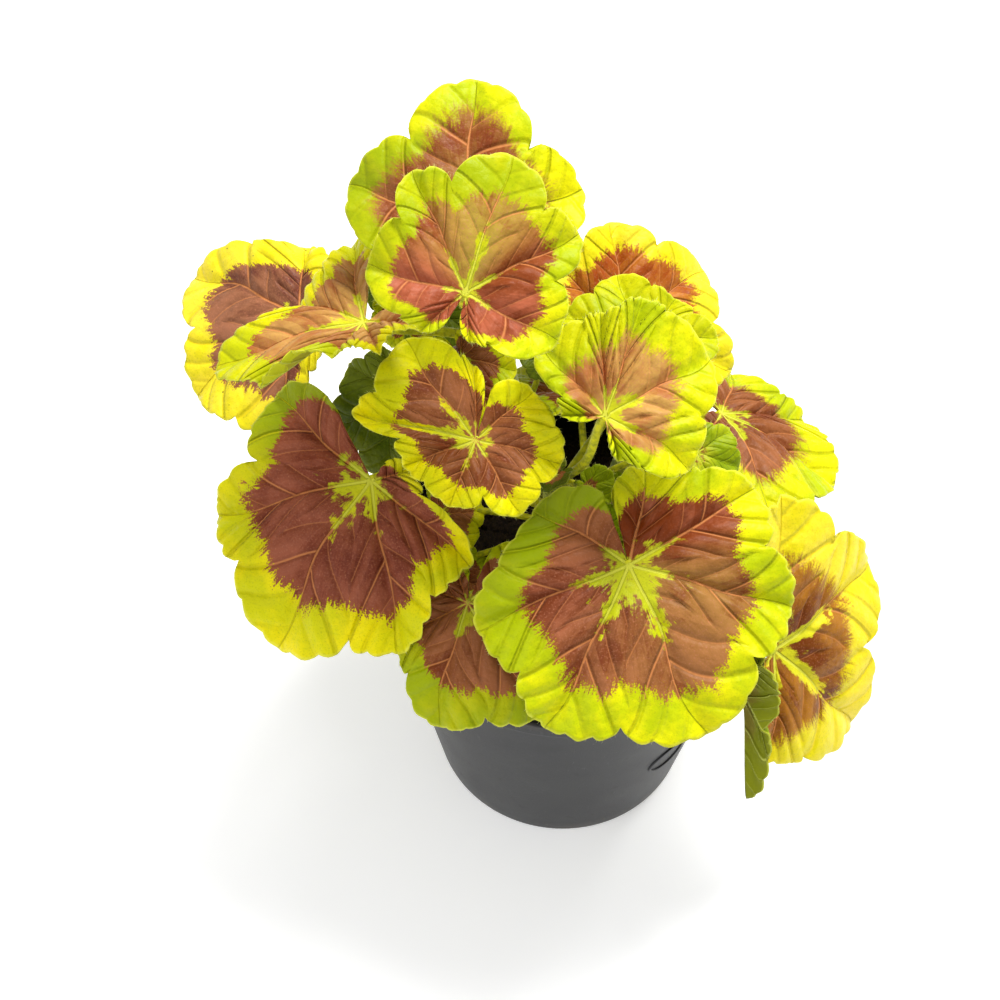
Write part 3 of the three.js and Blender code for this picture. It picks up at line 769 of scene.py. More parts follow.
def leaf_of(name, row, place):
    """A leaf's row with what it leaves out filled in. Its place in the table sets its own waves."""
    leaf = {**PLAIN_ROW, **row, **LOOK, **LOOKS.get(name, {})}
    leaf["seed"] = place + 1
    leaf["count"] = count = len(leaf["lobes"])
    leaf["radius"] = max(leaf["lobes"])
    leaf["teeth"] = LARGE_TEETH if leaf["radius"] >= LARGE_LEAF else SMALL_TEETH
    end = 180 - leaf["gap"]
    even = [(end * (2 * (k + 1) / count - 1), leaf["notch"]) for k in range(count - 1)]
    cuts = leaf.get("cuts", even)
    leaf["turns"] = np.array([-end, *(turn for turn, _ in cuts), end], float)
    leaf["depths"] = np.array([depth for _, depth in cuts])
    return leaf


def blade_axes(leaf):
    """The blade's own axes: normal out of its upper face, tip along the midrib, right across it."""
    a, lean, spin = (math.radians(angle) for angle in leaf["pose"])
    facing = np.array((math.sin(a), -math.cos(a), 0))
    up = np.array((0.0, 0.0, 1.0))
    normal = up * math.cos(lean) + facing * math.sin(lean)
    down = facing * math.cos(lean) - up * math.sin(lean)
    side = np.cross(down, normal)
    tip = down * math.cos(spin) + side * math.sin(spin)
    right = side * math.cos(spin) - down * math.sin(spin)
    return normal, tip, right


def by_lobe(leaf, values, w):
    """Values given for each lobe, or one for all, at w lobes from the midrib."""
    values = np.broadcast_to(np.asarray(values, float), leaf["count"])
    at = np.clip(w + (leaf["count"] - 1) / 2, 0, leaf["count"] - 1)
    k = np.minimum(np.floor(at).astype(int), leaf["count"] - 2)
    s = smooth(0, 1, at - k)
    return values[k] * (1 - s) + values[k + 1] * s


def lobe_phase(leaf, w):
    """The phase of a leaf's cuts. Its sine is 0 along a lobe's middle, and its cosine along a cut."""
    return math.pi * (w + (leaf["count"] - 1) / 2)


def turn_at(leaf, w):
    """The angle from the midrib in radians at w lobes from it, and how fast it grows with w."""
    u = w + leaf["count"] / 2
    k = np.clip(np.floor(u).astype(int), 0, leaf["count"] - 1)
    span = leaf["turns"][k + 1] - leaf["turns"][k]
    return np.radians(leaf["turns"][k] + span * (u - k)), np.radians(span)


def reach(leaf, w, t):
    """How far the blade reaches, w lobes from the midrib. t is 0 at the stalk and 1 at the margin."""
    last = leaf["count"] - 1
    past = np.maximum(np.abs(w) - last / 2, 0)
    phase = lobe_phase(leaf, w)
    k = np.clip(np.floor(w + leaf["count"] / 2 + 0.5).astype(int) - 1, 0, last - 1)
    cut = leaf["depths"][k] * (1 - np.abs(np.cos(phase)) ** CUT["sharpness"]) * t ** CUT["fade"]
    nick = 1 - np.abs(np.cos(leaf["teeth"] * phase)) ** TOOTH["sharpness"]
    tooth = TOOTH["depth"] * nick * t ** TOOTH["fade"]
    swing = FRILL["turn"] * leaf["teeth"] * phase + FRILL["sway"] * np.sin(phase + leaf["seed"])
    frill = FRILL["depth"] * (1 + np.sin(swing)) * t ** FRILL["fade"]
    return t * by_lobe(leaf, leaf["lobes"], w) * (1 - past**2) * (1 - cut) * (1 - tooth - frill)


def swell(leaf, x, y, w, t):
    """Height of the blade over its flat plane, as a share of its radius. x and y are shares too."""
    r2 = x * x + y * y
    dish = leaf["cup"] * r2 - DIMPLE["depth"] * np.exp(-r2 / DIMPLE["spread"] ** 2)
    fold = leaf["fold"] * (np.hypot(x, FOLD_ROUND) - FOLD_ROUND)
    crease = 2 * np.abs(np.sin(lobe_phase(leaf, w))) ** PLEAT["sharpness"] - 1
    pleat = PLEAT["depth"] * t ** PLEAT["fade"] * crease
    wave = WAVE["depth"] * t ** WAVE["fade"] * np.sin(WAVE["turn"] * w + WAVE["start"] * leaf["seed"])
    swing = RIPPLE["turn"] * w + RIPPLE["start"] * leaf["seed"]
    ripple = RIPPLE["depth"] * t ** RIPPLE["fade"] * np.cos(swing)
    return dish + fold + pleat + wave + ripple


def blade_grid(leaf):
    """Rays from the stalk to the margin: w and t of each point, ring by ring."""
    rays = leaf["count"] * leaf["teeth"] * TOOTH_STEPS + 1
    rings = next(rings for radius, rings in RINGS if leaf["radius"] >= radius)
    w = np.linspace(-leaf["count"] / 2, leaf["count"] / 2, rays)
    t = (np.arange(rings) + 1) / rings
    return np.meshgrid(w, t)


def vein_place(leaf, x, y, w, t):
    """Where a point lies among the veins, bent a little so that no vein is straight."""
    seed = leaf["seed"]
    bend = VEIN_BEND["amount"] * np.sin(VEIN_BEND["x"] * x + 2 * seed) * np.cos(VEIN_BEND["y"] * y - seed)
    slip = VEIN_SLIP["amount"] * np.sin(VEIN_SLIP["x"] * x - seed + VEIN_SLIP["y"] * y)
    return w + leaf["count"] / 2 + bend * smooth(0, 0.5, t), t * (1 + slip * (1 - t))


def pucker(leaf, u, t, spacing):
    """How far the blade bulges between its side veins and sinks along its main veins, in mm."""
    off = np.mod(u, 1) - 0.5
    lines = t * (1 - VEIN_SWING * np.abs(off)) * SIDE_VEINS + VEIN_SHIFT * np.sign(off)
    between = np.abs(np.mod(lines, 1) - 0.5) * 2
    grown = smooth(0, PUCKER["beside"], np.abs(off)) * smooth(*PUCKER["grows"], t)
    bulge = PUCKER["height"] * leaf["pucker"] * (1 - (1 - between) ** 2) * grown
    valley = np.exp(-((off * spacing / GROOVE["width"]) ** 2)) * smooth(*GROOVE["grows"], t)
    return (bulge - GROOVE["depth"] * valley) * min(leaf["radius"] / PUCKER_FULL, 1)


def blade_place(leaf, w, t):
    """Points half-way through the blade, on its own axes in mm, and what else is known of each."""
    radius = leaf["radius"]
    phi, growth = turn_at(leaf, w)
    r = reach(leaf, w, t) / radius
    x, y = leaf["width"] * r * np.sin(phi), r * np.cos(phi)
    u, along = vein_place(leaf, x, y, w, t)
    spacing = radius * r * growth
    height = radius * swell(leaf, x, y, w, t) + pucker(leaf, u, along, spacing)
    flat = (radius * r * np.sin(phi), radius * r * np.cos(phi), 0 * r)
    return np.stack([radius * x, radius * y, height], -1), {"vein": (u, along, spacing), "flat": flat}


def add_blade(mesh, leaf):
    """Both faces of a blade, and the strip that joins them round its margin and along its gap."""
    w, t = blade_grid(leaf)
    middle, known = blade_place(leaf, w, t)
    heart = (0, 0, leaf["radius"] * swell(leaf, 0.0, 0.0, 0.0, 0.0))
    rim = BLADE / 2 * math.hypot(1, leaf["fold"])
    half = rim * (1 - RIM_THIN["depth"] * t ** RIM_THIN["fade"])
    size = w.size + 1
    for way in (1, -1):
        own = middle + way * half[..., None] * (0, 0, 1)
        own = np.vstack([own.reshape(-1, 3), [heart + way * rim * np.array((0, 0, 1))]])
        faces = grid_faces(*w.shape, flip=way < 0)
        for i in range(w.shape[1] - 1):
            faces.append([size - 1, i + 1, i][::way])
        mesh.add(to_world(leaf, own), faces, **blade_values(leaf, w, known, 0.5 - 0.5 * way))
    mesh.join(rim_faces(*w.shape, mesh.count - 2 * size, mesh.count - size))


def blade_values(leaf, w, known, under):
    """What the skin needs to know at each point. The last row of each value is for the stalk's end.

    vein: its place among the veins, and how wide a lobe is there.
    flat: its place on the flat blade.
    zone: how far the brown zone and the star reach there, and 1 on the lower face.
    tint: how green the margin is there, and how faded and how warm the brown is.
    """
    off = np.abs(np.mod(w + leaf["count"] / 2, 1) - 0.5)
    notch = 1 - np.abs(np.cos(lobe_phase(leaf, w))) ** ZONE_NOTCH["sharpness"]
    zone = by_lobe(leaf, leaf["edge"], w) * (1 - ZONE_NOTCH["depth"] * notch)
    star = by_lobe(leaf, leaf["star"], w) * (1 - leaf["gaps"] * smooth(*STAR_SIDE, off))
    tints = [by_lobe(leaf, leaf[tint], w) for tint in ("green", "faded", "warm")]
    grids = {**known, "zone": (zone, star, under + 0 * w), "tint": tints}
    hearts = {"vein": (leaf["count"] / 2, 0, 0), "flat": (0, 0, 0)}
    for name in ("zone", "tint"):
        hearts[name] = [grid.mean() for grid in grids[name]]
    return {name: in_rows(parts, hearts[name]) for name, parts in grids.items()}


def in_rows(grids, heart):
    """Three grids of numbers as one row for each point, and then the row of the stalk's end."""
    return np.vstack([np.stack(grids, -1).reshape(-1, 3), [heart]])


def rim_faces(rings, rays, upper, lower):
    """The faces that join the two sides of a blade, round its margin and along both sides of its gap."""
    path = [rings * rays, *(j * rays for j in range(rings))]
    path += [(rings - 1) * rays + i for i in range(1, rays)]
    path += [j * rays + rays - 1 for j in range(rings - 2, -1, -1)]
    return [[upper + a, upper + b, lower + b, lower + a] for a, b in zip(path, [*path[1:], path[0]])]


def to_world(leaf, points):
    normal, tip, right = blade_axes(leaf)
    return np.asarray(leaf["at"], float) + points @ np.array([right, tip, normal])


def stalk_curve(leaf):
    """The stalk leaves the shoot outwards and upwards, and meets the blade from below, by the gap."""
    shoot, up = leaf["root"]
    start = bezier(SHOOTS[shoot][1], up)
    normal, tip, _ = blade_axes(leaf)
    end = np.asarray(leaf["at"], float) - STALK_UNDER * leaf["radius"] * normal
    span = end - start
    length = np.linalg.norm(span)
    outward = np.array((span[0], span[1], 0))
    leave = LEAVE["outwards"] * outward / np.linalg.norm(outward) + (0, 0, LEAVE["upwards"])
    arrive = ARRIVE["normal"] * normal + ARRIVE["midrib"] * tip - (0, 0, leaf["drop"])
    return [start, start + LEAVE["reach"] * length * leave, end - ARRIVE["reach"] * length * arrive, end]


def stalk_radius(leaf):
    return STALK_RADIUS + STALK_GROWTH * leaf["radius"]


def add_stalk(mesh, leaf):
    s = np.linspace(0, 1, STALK_STEPS)
    foot = STALK_FOOT["swell"] * np.exp(-s / STALK_FOOT["length"])
    head = STALK_HEAD["swell"] * np.exp((s - 1) / STALK_HEAD["length"])
    radii = stalk_radius(leaf) * (1.0 - STALK_TAPER * s) * (1 + foot + head)
    points, faces = tube(bezier(stalk_curve(leaf), s), radii, STALK_SIDES)
    mesh.add(points, faces, finish=1, along=np.append(np.repeat(s, STALK_SIDES), [0, 1]))


def add_hairs(mesh, leaf):
    """Short soft hairs that stand out from the stalk and round the blade's margin."""
    draw = np.random.default_rng(leaf["seed"])
    s = draw.uniform(*HAIRY_PART, STALK_HAIRS)
    path = bezier(stalk_curve(leaf), s)
    ahead = bezier(stalk_curve(leaf), s + SMALL_STEP) - path
    ways = unit(np.cross(ahead, draw.normal(size=path.shape)))
    add_spikes(mesh, path + HAIR["foot"] * stalk_radius(leaf) * ways, ways)
    w = draw.uniform(-leaf["count"] / 2, leaf["count"] / 2, int(RIM_HAIRS * leaf["radius"]))
    foot = to_world(leaf, blade_place(leaf, w, 1 - SMALL_STEP + 0 * w)[0])
    ways = unit(to_world(leaf, blade_place(leaf, w, 1.0 + 0 * w)[0]) - foot)
    add_spikes(mesh, foot, ways + draw.normal(scale=HAIR["stray"], size=ways.shape))


def add_spikes(mesh, feet, ways):
    """Slim three-sided spikes, each from its foot along its way."""
    side = unit(np.cross(ways, HAIR_ASKEW))
    other = np.cross(ways, side)
    turns = (0, 2 * math.pi / 3, 4 * math.pi / 3)
    corners = [feet + HAIR["radius"] * (math.cos(a) * side + math.sin(a) * other) for a in turns]
    corners.append(feet + HAIR["length"] * ways)
    edges = ((0, 1), (1, 2), (2, 0))
    faces = [[4 * i + a, 4 * i + b, 4 * i + 3] for i in range(len(feet)) for a, b in edges]
    along = np.tile((0, 0, 0, 1), len(feet))
    mesh.add(np.stack(corners, 1).reshape(-1, 3), faces, finish=2, along=along)


def hair_skin():
    g = Graph("hair_skin")
    along = g.attribute("along")["Fac"]
    foot, tip = (paint(colour) for colour in HAIR_COLOURS)
    return g.finish(g.mix(along, foot, tip), 0.5, Sheen_Weight=0.1)


def blade_skin(name, leaf):
    """A soft leaf skin: a yellow-green margin, a brown zone with a torn edge, a pale star and veins."""
    g = Graph("leaf_skin_" + name)
    flat = g.attribute("flat")["Vector"]
    u, t, spacing = g.parts(g.attribute("vein")["Vector"])
    edge, star, under = g.parts(g.attribute("zone")["Vector"])
    own = g.vector("ADD", flat, (31.0 * leaf["seed"], 17.0 * leaf["seed"], 5.0 * leaf["seed"]))
    veins = draw_veins(g, leaf, u, t, spacing)
    tones = {key: g.noise(own, *tone) for key, tone in TONES.items()}
    tones.update(draw_blocks(g, leaf, flat, veins))
    over = g.minus(t, g.wobbles(edge, tones, ZONE_TEAR))
    outside_star = g.fade(g.minus(t, g.wobbles(star, tones, STAR_TEAR)), -STAR_SOFT, STAR_SOFT)
    zone = g.times(g.fade(over, leaf["soft"], -leaf["soft"]), outside_star)
    green, faded, warm = g.parts(g.attribute("tint")["Vector"])
    fringe = g.times(g.fade(g.math("ABSOLUTE", over), FRINGE_WIDTH, 0.0), outside_star)
    brown = zone_colour(g, leaf, faded, warm, tones)
    brown = g.tint(g.times(fringe, FRINGE_SHARE), brown, FRINGE)
    colour = g.mix(zone, margin_colour(g, leaf, t, green, tones), brown)
    vein_colour = g.mix(outside_star, paint(STAR_VEIN), paint(MARGIN_VEINS[leaf["margin"]]))
    vein_colour = g.tint(zone, vein_colour, ZONE_VEIN)
    colour = g.mix(veins["shown"], colour, vein_colour)
    colour = g.tint(g.times(g.fade(t, RIM_FROM, 1.0), RIM_SHARE), colour, RIM)
    colour = g.tint(draw_specks(g, leaf, own), colour, SPECK)
    below = g.mix(g.times(zone, 0.5), paint(UNDERSIDES[leaf["margin"]]), paint(UNDER_ZONE))
    below = g.tint(veins["shown"], below, UNDER_VEIN)
    roughness = g.plus(BLADE_ROUGHNESS, g.wobble(tones["fine"], 0.1))
    relief = blade_relief(g, own, veins, tones, under)
    return g.finish(g.mix(under, colour, below), roughness, relief, **BLADE_BODY)


def blade_relief(g, own, veins, tones, under):
    """The skin's relief in mm: veins that sink on the upper face and stand out below, and small cells."""
    grooves = g.times(veins["depth"], g.math("MULTIPLY_ADD", under, -2.0, 1.0))
    cells = g.times(g.cells(own, QUILT["size"])["Distance"], -QUILT["depth"])
    return g.plus(grooves, g.plus(cells, g.times(tones["fine"], QUILT["grain"])))


def draw_veins(g, leaf, u, t, spacing):
    """The main veins, along the middle of each lobe, and the side veins that branch from them."""
    size = min(leaf["radius"] / VEIN_FULL, 1)
    off = g.minus(g.math("FRACT", u), 0.5)
    aside = g.math("ABSOLUTE", off)
    width = g.math("MULTIPLY_ADD", t, -MAIN_VEIN["taper"] * size, MAIN_VEIN["width"] * size)
    past = g.minus(g.times(aside, spacing), width)
    main = g.fade(past, MAIN_VEIN["outside"] * size, -MAIN_VEIN["inside"] * size)
    lines = g.times(g.times(t, g.math("MULTIPLY_ADD", aside, -VEIN_SWING, 1.0)), SIDE_VEINS)
    lines = g.plus(lines, g.times(g.math("SIGN", off), VEIN_SHIFT))
    number = g.math("FLOOR", lines)
    between = g.math("ABSOLUTE", g.minus(g.math("FRACT", lines), 0.5))
    from_side = g.times(between, SIDE_SPREAD * leaf["radius"] / SIDE_VEINS)
    fork = g.fade(g.math("ABSOLUTE", g.minus(number, FORK)), *FORK_FADE)
    strength = g.math("MULTIPLY_ADD", fork, 1 - SIDE_VEIN["weak"], SIDE_VEIN["weak"])
    grown = g.times(g.fade(t, *SIDE_GROWS), strength)
    side = g.fade(from_side, g.times(strength, SIDE_VEIN["width"] * size), SIDE_VEIN["core"])
    valley = g.times(g.fade(from_side, SIDE_VEIN["valley"] * size, 0.0), grown)
    shown = g.times(g.times(side, grown), SIDE_VEIN["shown"])
    shown = g.math("MAXIMUM", g.times(main, MAIN_VEIN["shown"]), shown)
    depth = g.times(main, -MAIN_VEIN["sunk"] * size)
    depth = g.plus(depth, g.times(valley, -SIDE_VEIN["sunk"] * size))
    return {"number": number, "shown": shown, "depth": depth, "u": u}


def draw_blocks(g, leaf, flat, veins):
    """Tones that follow the veins: fine streaks outwards from the stalk, long narrow blocks that run
    the same way, and one value for each patch between two veins.
    """
    ahead = g.vector("MULTIPLY", g.vector("NORMALIZE", flat), (1.2 * leaf["radius"],) * 3)
    length = g.node("VectorMath", {0: flat}, operation="LENGTH").outputs["Value"]
    along = g.node("CombineXYZ", {2: g.times(length, 0.3)}).outputs[0]
    spread = g.vector("ADD", ahead, along)
    half = g.math("FLOOR", g.times(veins["u"], 2.0))
    cell = g.node("CombineXYZ", {0: half, 1: veins["number"], 2: float(leaf["seed"])}).outputs[0]
    chance = g.node("TexWhiteNoise", {"Vector": cell}, noise_dimensions="3D").outputs["Color"]
    tones = {"streak": g.noise(spread, 1.0, 3.0, 0.65)}
    for kind, colour in (("block", g.cells(spread, BLOCK)["Color"]), ("patch", chance)):
        values = g.node("SeparateColor", {0: colour}).outputs
        tones.update({f"{use}_{kind}": value for use, value in zip(("edge", "star", "tone"), values)})
    return tones


def margin_colour(g, leaf, t, green, tones):
    tone = g.plus(tones["broad"], g.wobble(tones["fine"], 0.15))
    colour = g.shade(tone, 0.34, 0.68, MARGINS[leaf["margin"]])
    colour = g.tint(green, colour, DEEP_GREEN)
    colour = g.tint(g.times(g.fade(t, 0.5, 0.2), 0.7), colour, STAR)
    return g.tint(g.times(g.fade(tones["grain"], 0.5, 0.2), 0.3), colour, DEEP_GREEN)


def zone_colour(g, leaf, faded, warm, tones):
    tone = g.wobbles(tones["broad"], tones, BROWN_TONE)
    colour = g.shade(tone, 0.28, 0.72, ZONES[leaf["zone"]])
    colour = g.tint(g.times(warm, g.fade(tone, 0.9, 0.5)), colour, WARM)
    colour = g.tint(g.times(faded, g.fade(tone, 0.2, 0.6)), colour, FADED)
    # Painted glints: pale specks of highlight on the brown, fewer where it is red
    glint = g.times(g.fade(tones["grain"], 0.5, 0.95), g.minus(1.0, warm))
    return g.tint(glint, colour, GLINT)


def draw_specks(g, leaf, own):
    """Small crumbs of soil that lie on the blade."""
    dots = g.cells(own, SPECKS["apart"])
    chance = g.node("SeparateColor", {0: dots["Color"]}).outputs[2]
    share = SPECKS["share"] * leaf["specks"]
    rare = g.fade(chance, 1 - share, 1.01 - share)
    return g.times(g.fade(dots["Distance"], *SPECKS["edge"]), g.times(rare, SPECKS["shown"]))


def stalk_skin():
    """Fleshy yellow-green stalks with fine mottling, browner where they leave the shoot."""
    g = Graph("stalk_skin")
    along = g.attribute("along")["Fac"]
    where = g.where()
    colour = g.shade(g.noise(where, 1.6 * MM), 0.35, 0.65, STALK_COLOURS)
    colour = g.tint(g.times(g.fade(along, 0.25, 0.0), 0.5), colour, STALK_BROWN)
    fine = g.noise(where, 0.5 * MM)
    return g.finish(colour, g.plus(0.42, g.wobble(fine, 0.08)), g.times(fine, 0.12), **STALK_BODY)


def make_leaf(name, leaf, stalk, hair):
    mesh = Mesh()
    add_blade(mesh, leaf)
    add_stalk(mesh, leaf)
    add_hairs(mesh, leaf)
    piece = mesh.build("leaf_" + name + "_fine", [blade_skin(name, leaf), stalk, hair])
    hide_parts("leaf_" + name)


def make_stem():
    """The shoots, knuckled at even steps along them, and woodier at the foot."""
    mesh = Mesh()
    s = np.linspace(0, 1, SHOOT_STEPS)
    knuckle = 1 - KNUCKLE["depth"] * np.abs(np.sin(math.pi * KNUCKLE["count"] * s))
    taper = 1 - SHOOT_TIP["depth"] * smooth(SHOOT_TIP["from"], 1.0, s) ** 2
    for radius, path in SHOOTS.values():
        points, faces = tube(bezier(path, s), radius * knuckle * taper, SHOOT_SIDES)
        mesh.add(points, faces, along=np.append(np.repeat(s, SHOOT_SIDES), [0, 1]))
    piece = mesh.build("stem_fine", [stem_skin()])
    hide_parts("stem")


def stem_skin():
    g = Graph("stem_skin")
    along = g.attribute("along")["Fac"]
    where = g.where()
    lumps = g.noise(where, 3 * MM, 3.0)
    colour = g.shade(lumps, 0.35, 0.65, STEM_COLOURS)
    woody = g.fade(g.plus(along, g.wobble(lumps, 0.2)), 0.5, 0.1)
    colour = g.tint(woody, colour, STEM_WOOD)
    fine = g.noise(where, 0.6 * MM, 3.0)
    return g.finish(colour, g.plus(0.5, g.wobble(fine, 0.1)), g.times(fine, 0.25), Sheen_Weight=0.1)


def soil_lift(x, y):
    lumps = SOIL_LUMPS["height"] * np.sin(SOIL_LUMPS["x"] * x + 1) * np.cos(SOIL_LUMPS["y"] * y)
    return lumps + SOIL_RIDGES["height"] * np.sin(SOIL_RIDGES["x"] * x - SOIL_RIDGES["y"] * y)


def wall_radius(z):
    """Half-width of the pot's outer wall at a height."""
    return POT_BASE_RADIUS + (POT_RIM_RADIUS - LIP_STAND - POT_BASE_RADIUS) * z / POT_HEIGHT


def make_soil():
    """Soil with a crumbly top, and loose crumbs lying on it."""
    mesh = Mesh()
    top = wall_radius(SOIL_TOP) - POT_WALL - SEAT - FACET_ROOM
    foot = wall_radius(POT_FLOOR) - POT_WALL - SEAT - FACET_ROOM
    points = []
    for share in np.linspace(1 / SOIL_RINGS, 1, SOIL_RINGS):
        for i in range(SOIL_SPOKES):
            x, y, _ = turned(top * share, 360 * i / SOIL_SPOKES, 0)
            points.append((x, y, soil_height(x, y, share)))
    for i in range(SOIL_SPOKES):
        points.append(turned(foot, 360 * i / SOIL_SPOKES, POT_FLOOR + SEAT))
    points += [(0, 0, soil_height(0, 0, 0)), (0, 0, POT_FLOOR + SEAT)]
    faces = grid_faces(SOIL_RINGS + 1, SOIL_SPOKES, closed=True, flip=True)
    heart, base = len(points) - 2, len(points) - 1
    last = SOIL_RINGS * SOIL_SPOKES
    for i in range(SOIL_SPOKES):
        k = (i + 1) % SOIL_SPOKES
        faces.append([heart, i, k])
        faces.append([base, last + k, last + i])
    mesh.add(points, faces)
    add_crumbs(mesh, top)
    piece = mesh.build("soil_fine", [soil_skin()])
    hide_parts("soil")


def soil_height(x, y, share):
    place = Vector((x / SOIL_GRAIN["size"], y / SOIL_GRAIN["size"], SOIL_GRAIN["layer"]))
    bump = soil_lift(x, y) + SOIL_GRAIN["height"] * noise.fractal(place, *SOIL_GRAIN["rough"])
    return SOIL_TOP + SOIL_MOUND * (1 - share * share) + bump * (1 - share**6) - SOIL_SUNK


def add_crumbs(mesh, top):
    """Loose crumbs, each a twenty-sided solid with its corners pushed in and out."""
    draw = np.random.default_rng(CRUMB_SEED)
    golden = (1 + 5**0.5) / 2
    corners = [(-1, golden, 0), (1, golden, 0), (-1, -golden, 0), (1, -golden, 0)]
    corners += [(0, -1, golden), (0, 1, golden), (0, -1, -golden), (0, 1, -golden)]
    corners += [(golden, 0, -1), (golden, 0, 1), (-golden, 0, -1), (-golden, 0, 1)]
    corners = np.array(corners) / math.hypot(1, golden)
    faces = [(0, 11, 5), (0, 5, 1), (0, 1, 7), (0, 7, 10), (0, 10, 11), (1, 5, 9), (5, 11, 4)]
    faces += [(11, 10, 2), (10, 7, 6), (7, 1, 8), (3, 9, 4), (3, 4, 2), (3, 2, 6), (3, 6, 8)]
    faces += [(3, 8, 9), (4, 9, 5), (2, 4, 11), (6, 2, 10), (8, 6, 7), (9, 8, 1)]
    for _ in range(CRUMBS):
        radius = (top - CRUMB["from_wall"]) * math.sqrt(draw.random())
        x, y, _ = turned(radius, 360 * draw.random(), 0)
        size = CRUMB["least"] + CRUMB["more"] * draw.random() ** 3
        pushed = CRUMB_SHAPE["corner"] + CRUMB_SHAPE["stray"] * draw.random((len(corners), 1))
        shape = corners * size * pushed * (1, 1, CRUMB["flat"])
        turn = np.array(Euler(draw.random(3) * CRUMB_SHAPE["turn"]).to_matrix())
        height = soil_height(x, y, radius / top) + CRUMB["sunk"] * size
        mesh.add(shape @ turn.T + (x, y, height), faces)


def soil_skin():
    g = Graph("soil_skin")
    where = g.where()
    crumbs = g.noise(where, 1.2 * MM, 5.0, 0.65)
    colour = g.shade(crumbs, 0.3, 0.7, SOIL_COLOURS)
    colour = g.tint(g.fade(g.noise(where, 7 * MM), 0.55, 0.75), colour, SOIL_DAMP)
    return g.finish(colour, 0.9, g.times(crumbs, 0.9), Specular_IOR_Level=0.1)


def pot_profile():
    """The wall's section, from the middle of the underside round the lip to the middle of the floor."""
    lip_foot = POT_HEIGHT - LIP_HEIGHT
    inside = wall_radius(POT_HEIGHT) - POT_WALL
    return [
        (FLOOR_MIDDLE, 0),
        (POT_BASE_RADIUS - FOOT_EDGE, 0),
        (wall_radius(FOOT_HEIGHT), FOOT_HEIGHT),
        (wall_radius(lip_foot), lip_foot),
        (POT_RIM_RADIUS - LIP_FOLD, lip_foot + LIP_EDGE),
        (POT_RIM_RADIUS, POT_HEIGHT - LIP_EDGE),
        (POT_RIM_RADIUS - LIP_EDGE, POT_HEIGHT),
        (inside + LIP_FOLD, POT_HEIGHT),
        (inside, POT_HEIGHT - LIP_EDGE),
        (wall_radius(POT_FLOOR) - POT_WALL, POT_FLOOR),
        (FLOOR_MIDDLE, POT_FLOOR),
    ]


def rounded(corners, radius):
    """A path of points with each corner but the first and last cut round."""
    path = [corners[0]]
    for before, corner, after in zip(corners, corners[1:], corners[2:]):
        before, corner, after = (np.asarray(point, float) for point in (before, corner, after))
        back, on = before - corner, after - corner
        near = min(radius, CORNER_MOST * np.linalg.norm(back), CORNER_MOST * np.linalg.norm(on))
        start = corner + near * back / np.linalg.norm(back)
        end = corner + near * on / np.linalg.norm(on)
        for s in np.linspace(0, 1, CORNER_STEPS):
            path.append(tuple(start * (1 - s) ** 2 + 2 * corner * s * (1 - s) + end * s * s))
    return [*path, corners[-1]]


def subdivided(path, longest):
    """A path with points put in, so that no step is longer than that."""
    out = [path[0]]
    for start, end in zip(path, path[1:]):
        count = max(1, math.ceil(math.dist(start, end) / longest))
        for i in range(1, count + 1):
            out.append(tuple(a + (b - a) * i / count for a, b in zip(start, end)))
    return out


def add_lathe(mesh, profile, sides):
    """A closed turned body. Its profile runs from the middle of the underside out, up and back."""
    turns = [360 * i / sides for i in range(sides)]
    points = [turned(radius, turn, z) for radius, z in profile for turn in turns]
    faces = grid_faces(len(profile), sides, closed=True)
    last = (len(profile) - 1) * sides
    faces.append(list(range(sides))[::-1])
    faces.append([last + i for i in range(sides)])
    mesh.add(points, faces)


def make_pot():
    """The moulded pot: a tapered wall, a rolled lip, drainage holes, and two raised rings."""
    mesh = Mesh()
    add_lathe(mesh, subdivided(rounded(pot_profile(), CORNER_ROUND), WALL_STEP), POT_SIDES)
    piece = mesh.build("pot_fine", [pot_skin()])
    holes = Mesh()
    for i in range(DRAIN_HOLES):
        foot = turned(DRAIN_RING, 360 * i / DRAIN_HOLES, -POT_FLOOR)
        path = np.linspace(foot, foot + (0, 0, 3 * POT_FLOOR), 4)
        holes.add(*tube(path, [DRAIN_RADIUS] * 4, HOLE_SIDES))
    cut_away(piece, holes.build("drain_holes", []))
    rings = Mesh()
    for degrees in MEDALLION_TURNS:
        add_medallion(rings, degrees)
    raised = rings.build("pot_rings_fine", [pot_skin()])
    for part in (piece, raised):
        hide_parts("pot")


def cut_away(piece, cutter):
    """Cuts one object out of another, and removes it."""
    modifier = piece.modifiers.new("cut", "BOOLEAN")
    modifier.object = cutter
    modifier.solver = "EXACT"
    bpy.context.view_layer.update()
    shape = piece.evaluated_get(bpy.context.evaluated_depsgraph_get())
    data = bpy.data.meshes.new_from_object(shape)
    piece.modifiers.clear()
    piece.data = data
    bpy.data.objects.remove(cutter)


def add_medallion(mesh, degrees):
    """A plain raised ring that follows the pot's round wall."""
    points = []
    for i in range(MEDALLION_STEPS):
        a = 2 * math.pi * i / MEDALLION_STEPS
        for k in range(MEDALLION_BANDS + 1):
            share = k / MEDALLION_BANDS
            ring = MEDALLION_RADIUS - MEDALLION_BAND * share
            z = MEDALLION_HEIGHT + ring * math.cos(a)
            radius = wall_radius(z) + medallion_stand(share)
            points.append(turned(radius, degrees + math.degrees(ring * math.sin(a) / radius), z))
    mesh.add(points, ring_faces(MEDALLION_STEPS, MEDALLION_BANDS + 1))


def medallion_stand(share):
    """How far the ring stands off the wall, across its band. Both its edges are sunk into the wall."""
    return MEDALLION_STAND * math.sin(math.pi * share) ** 0.5 if 0 < share < 1 else -MEDALLION_SUNK


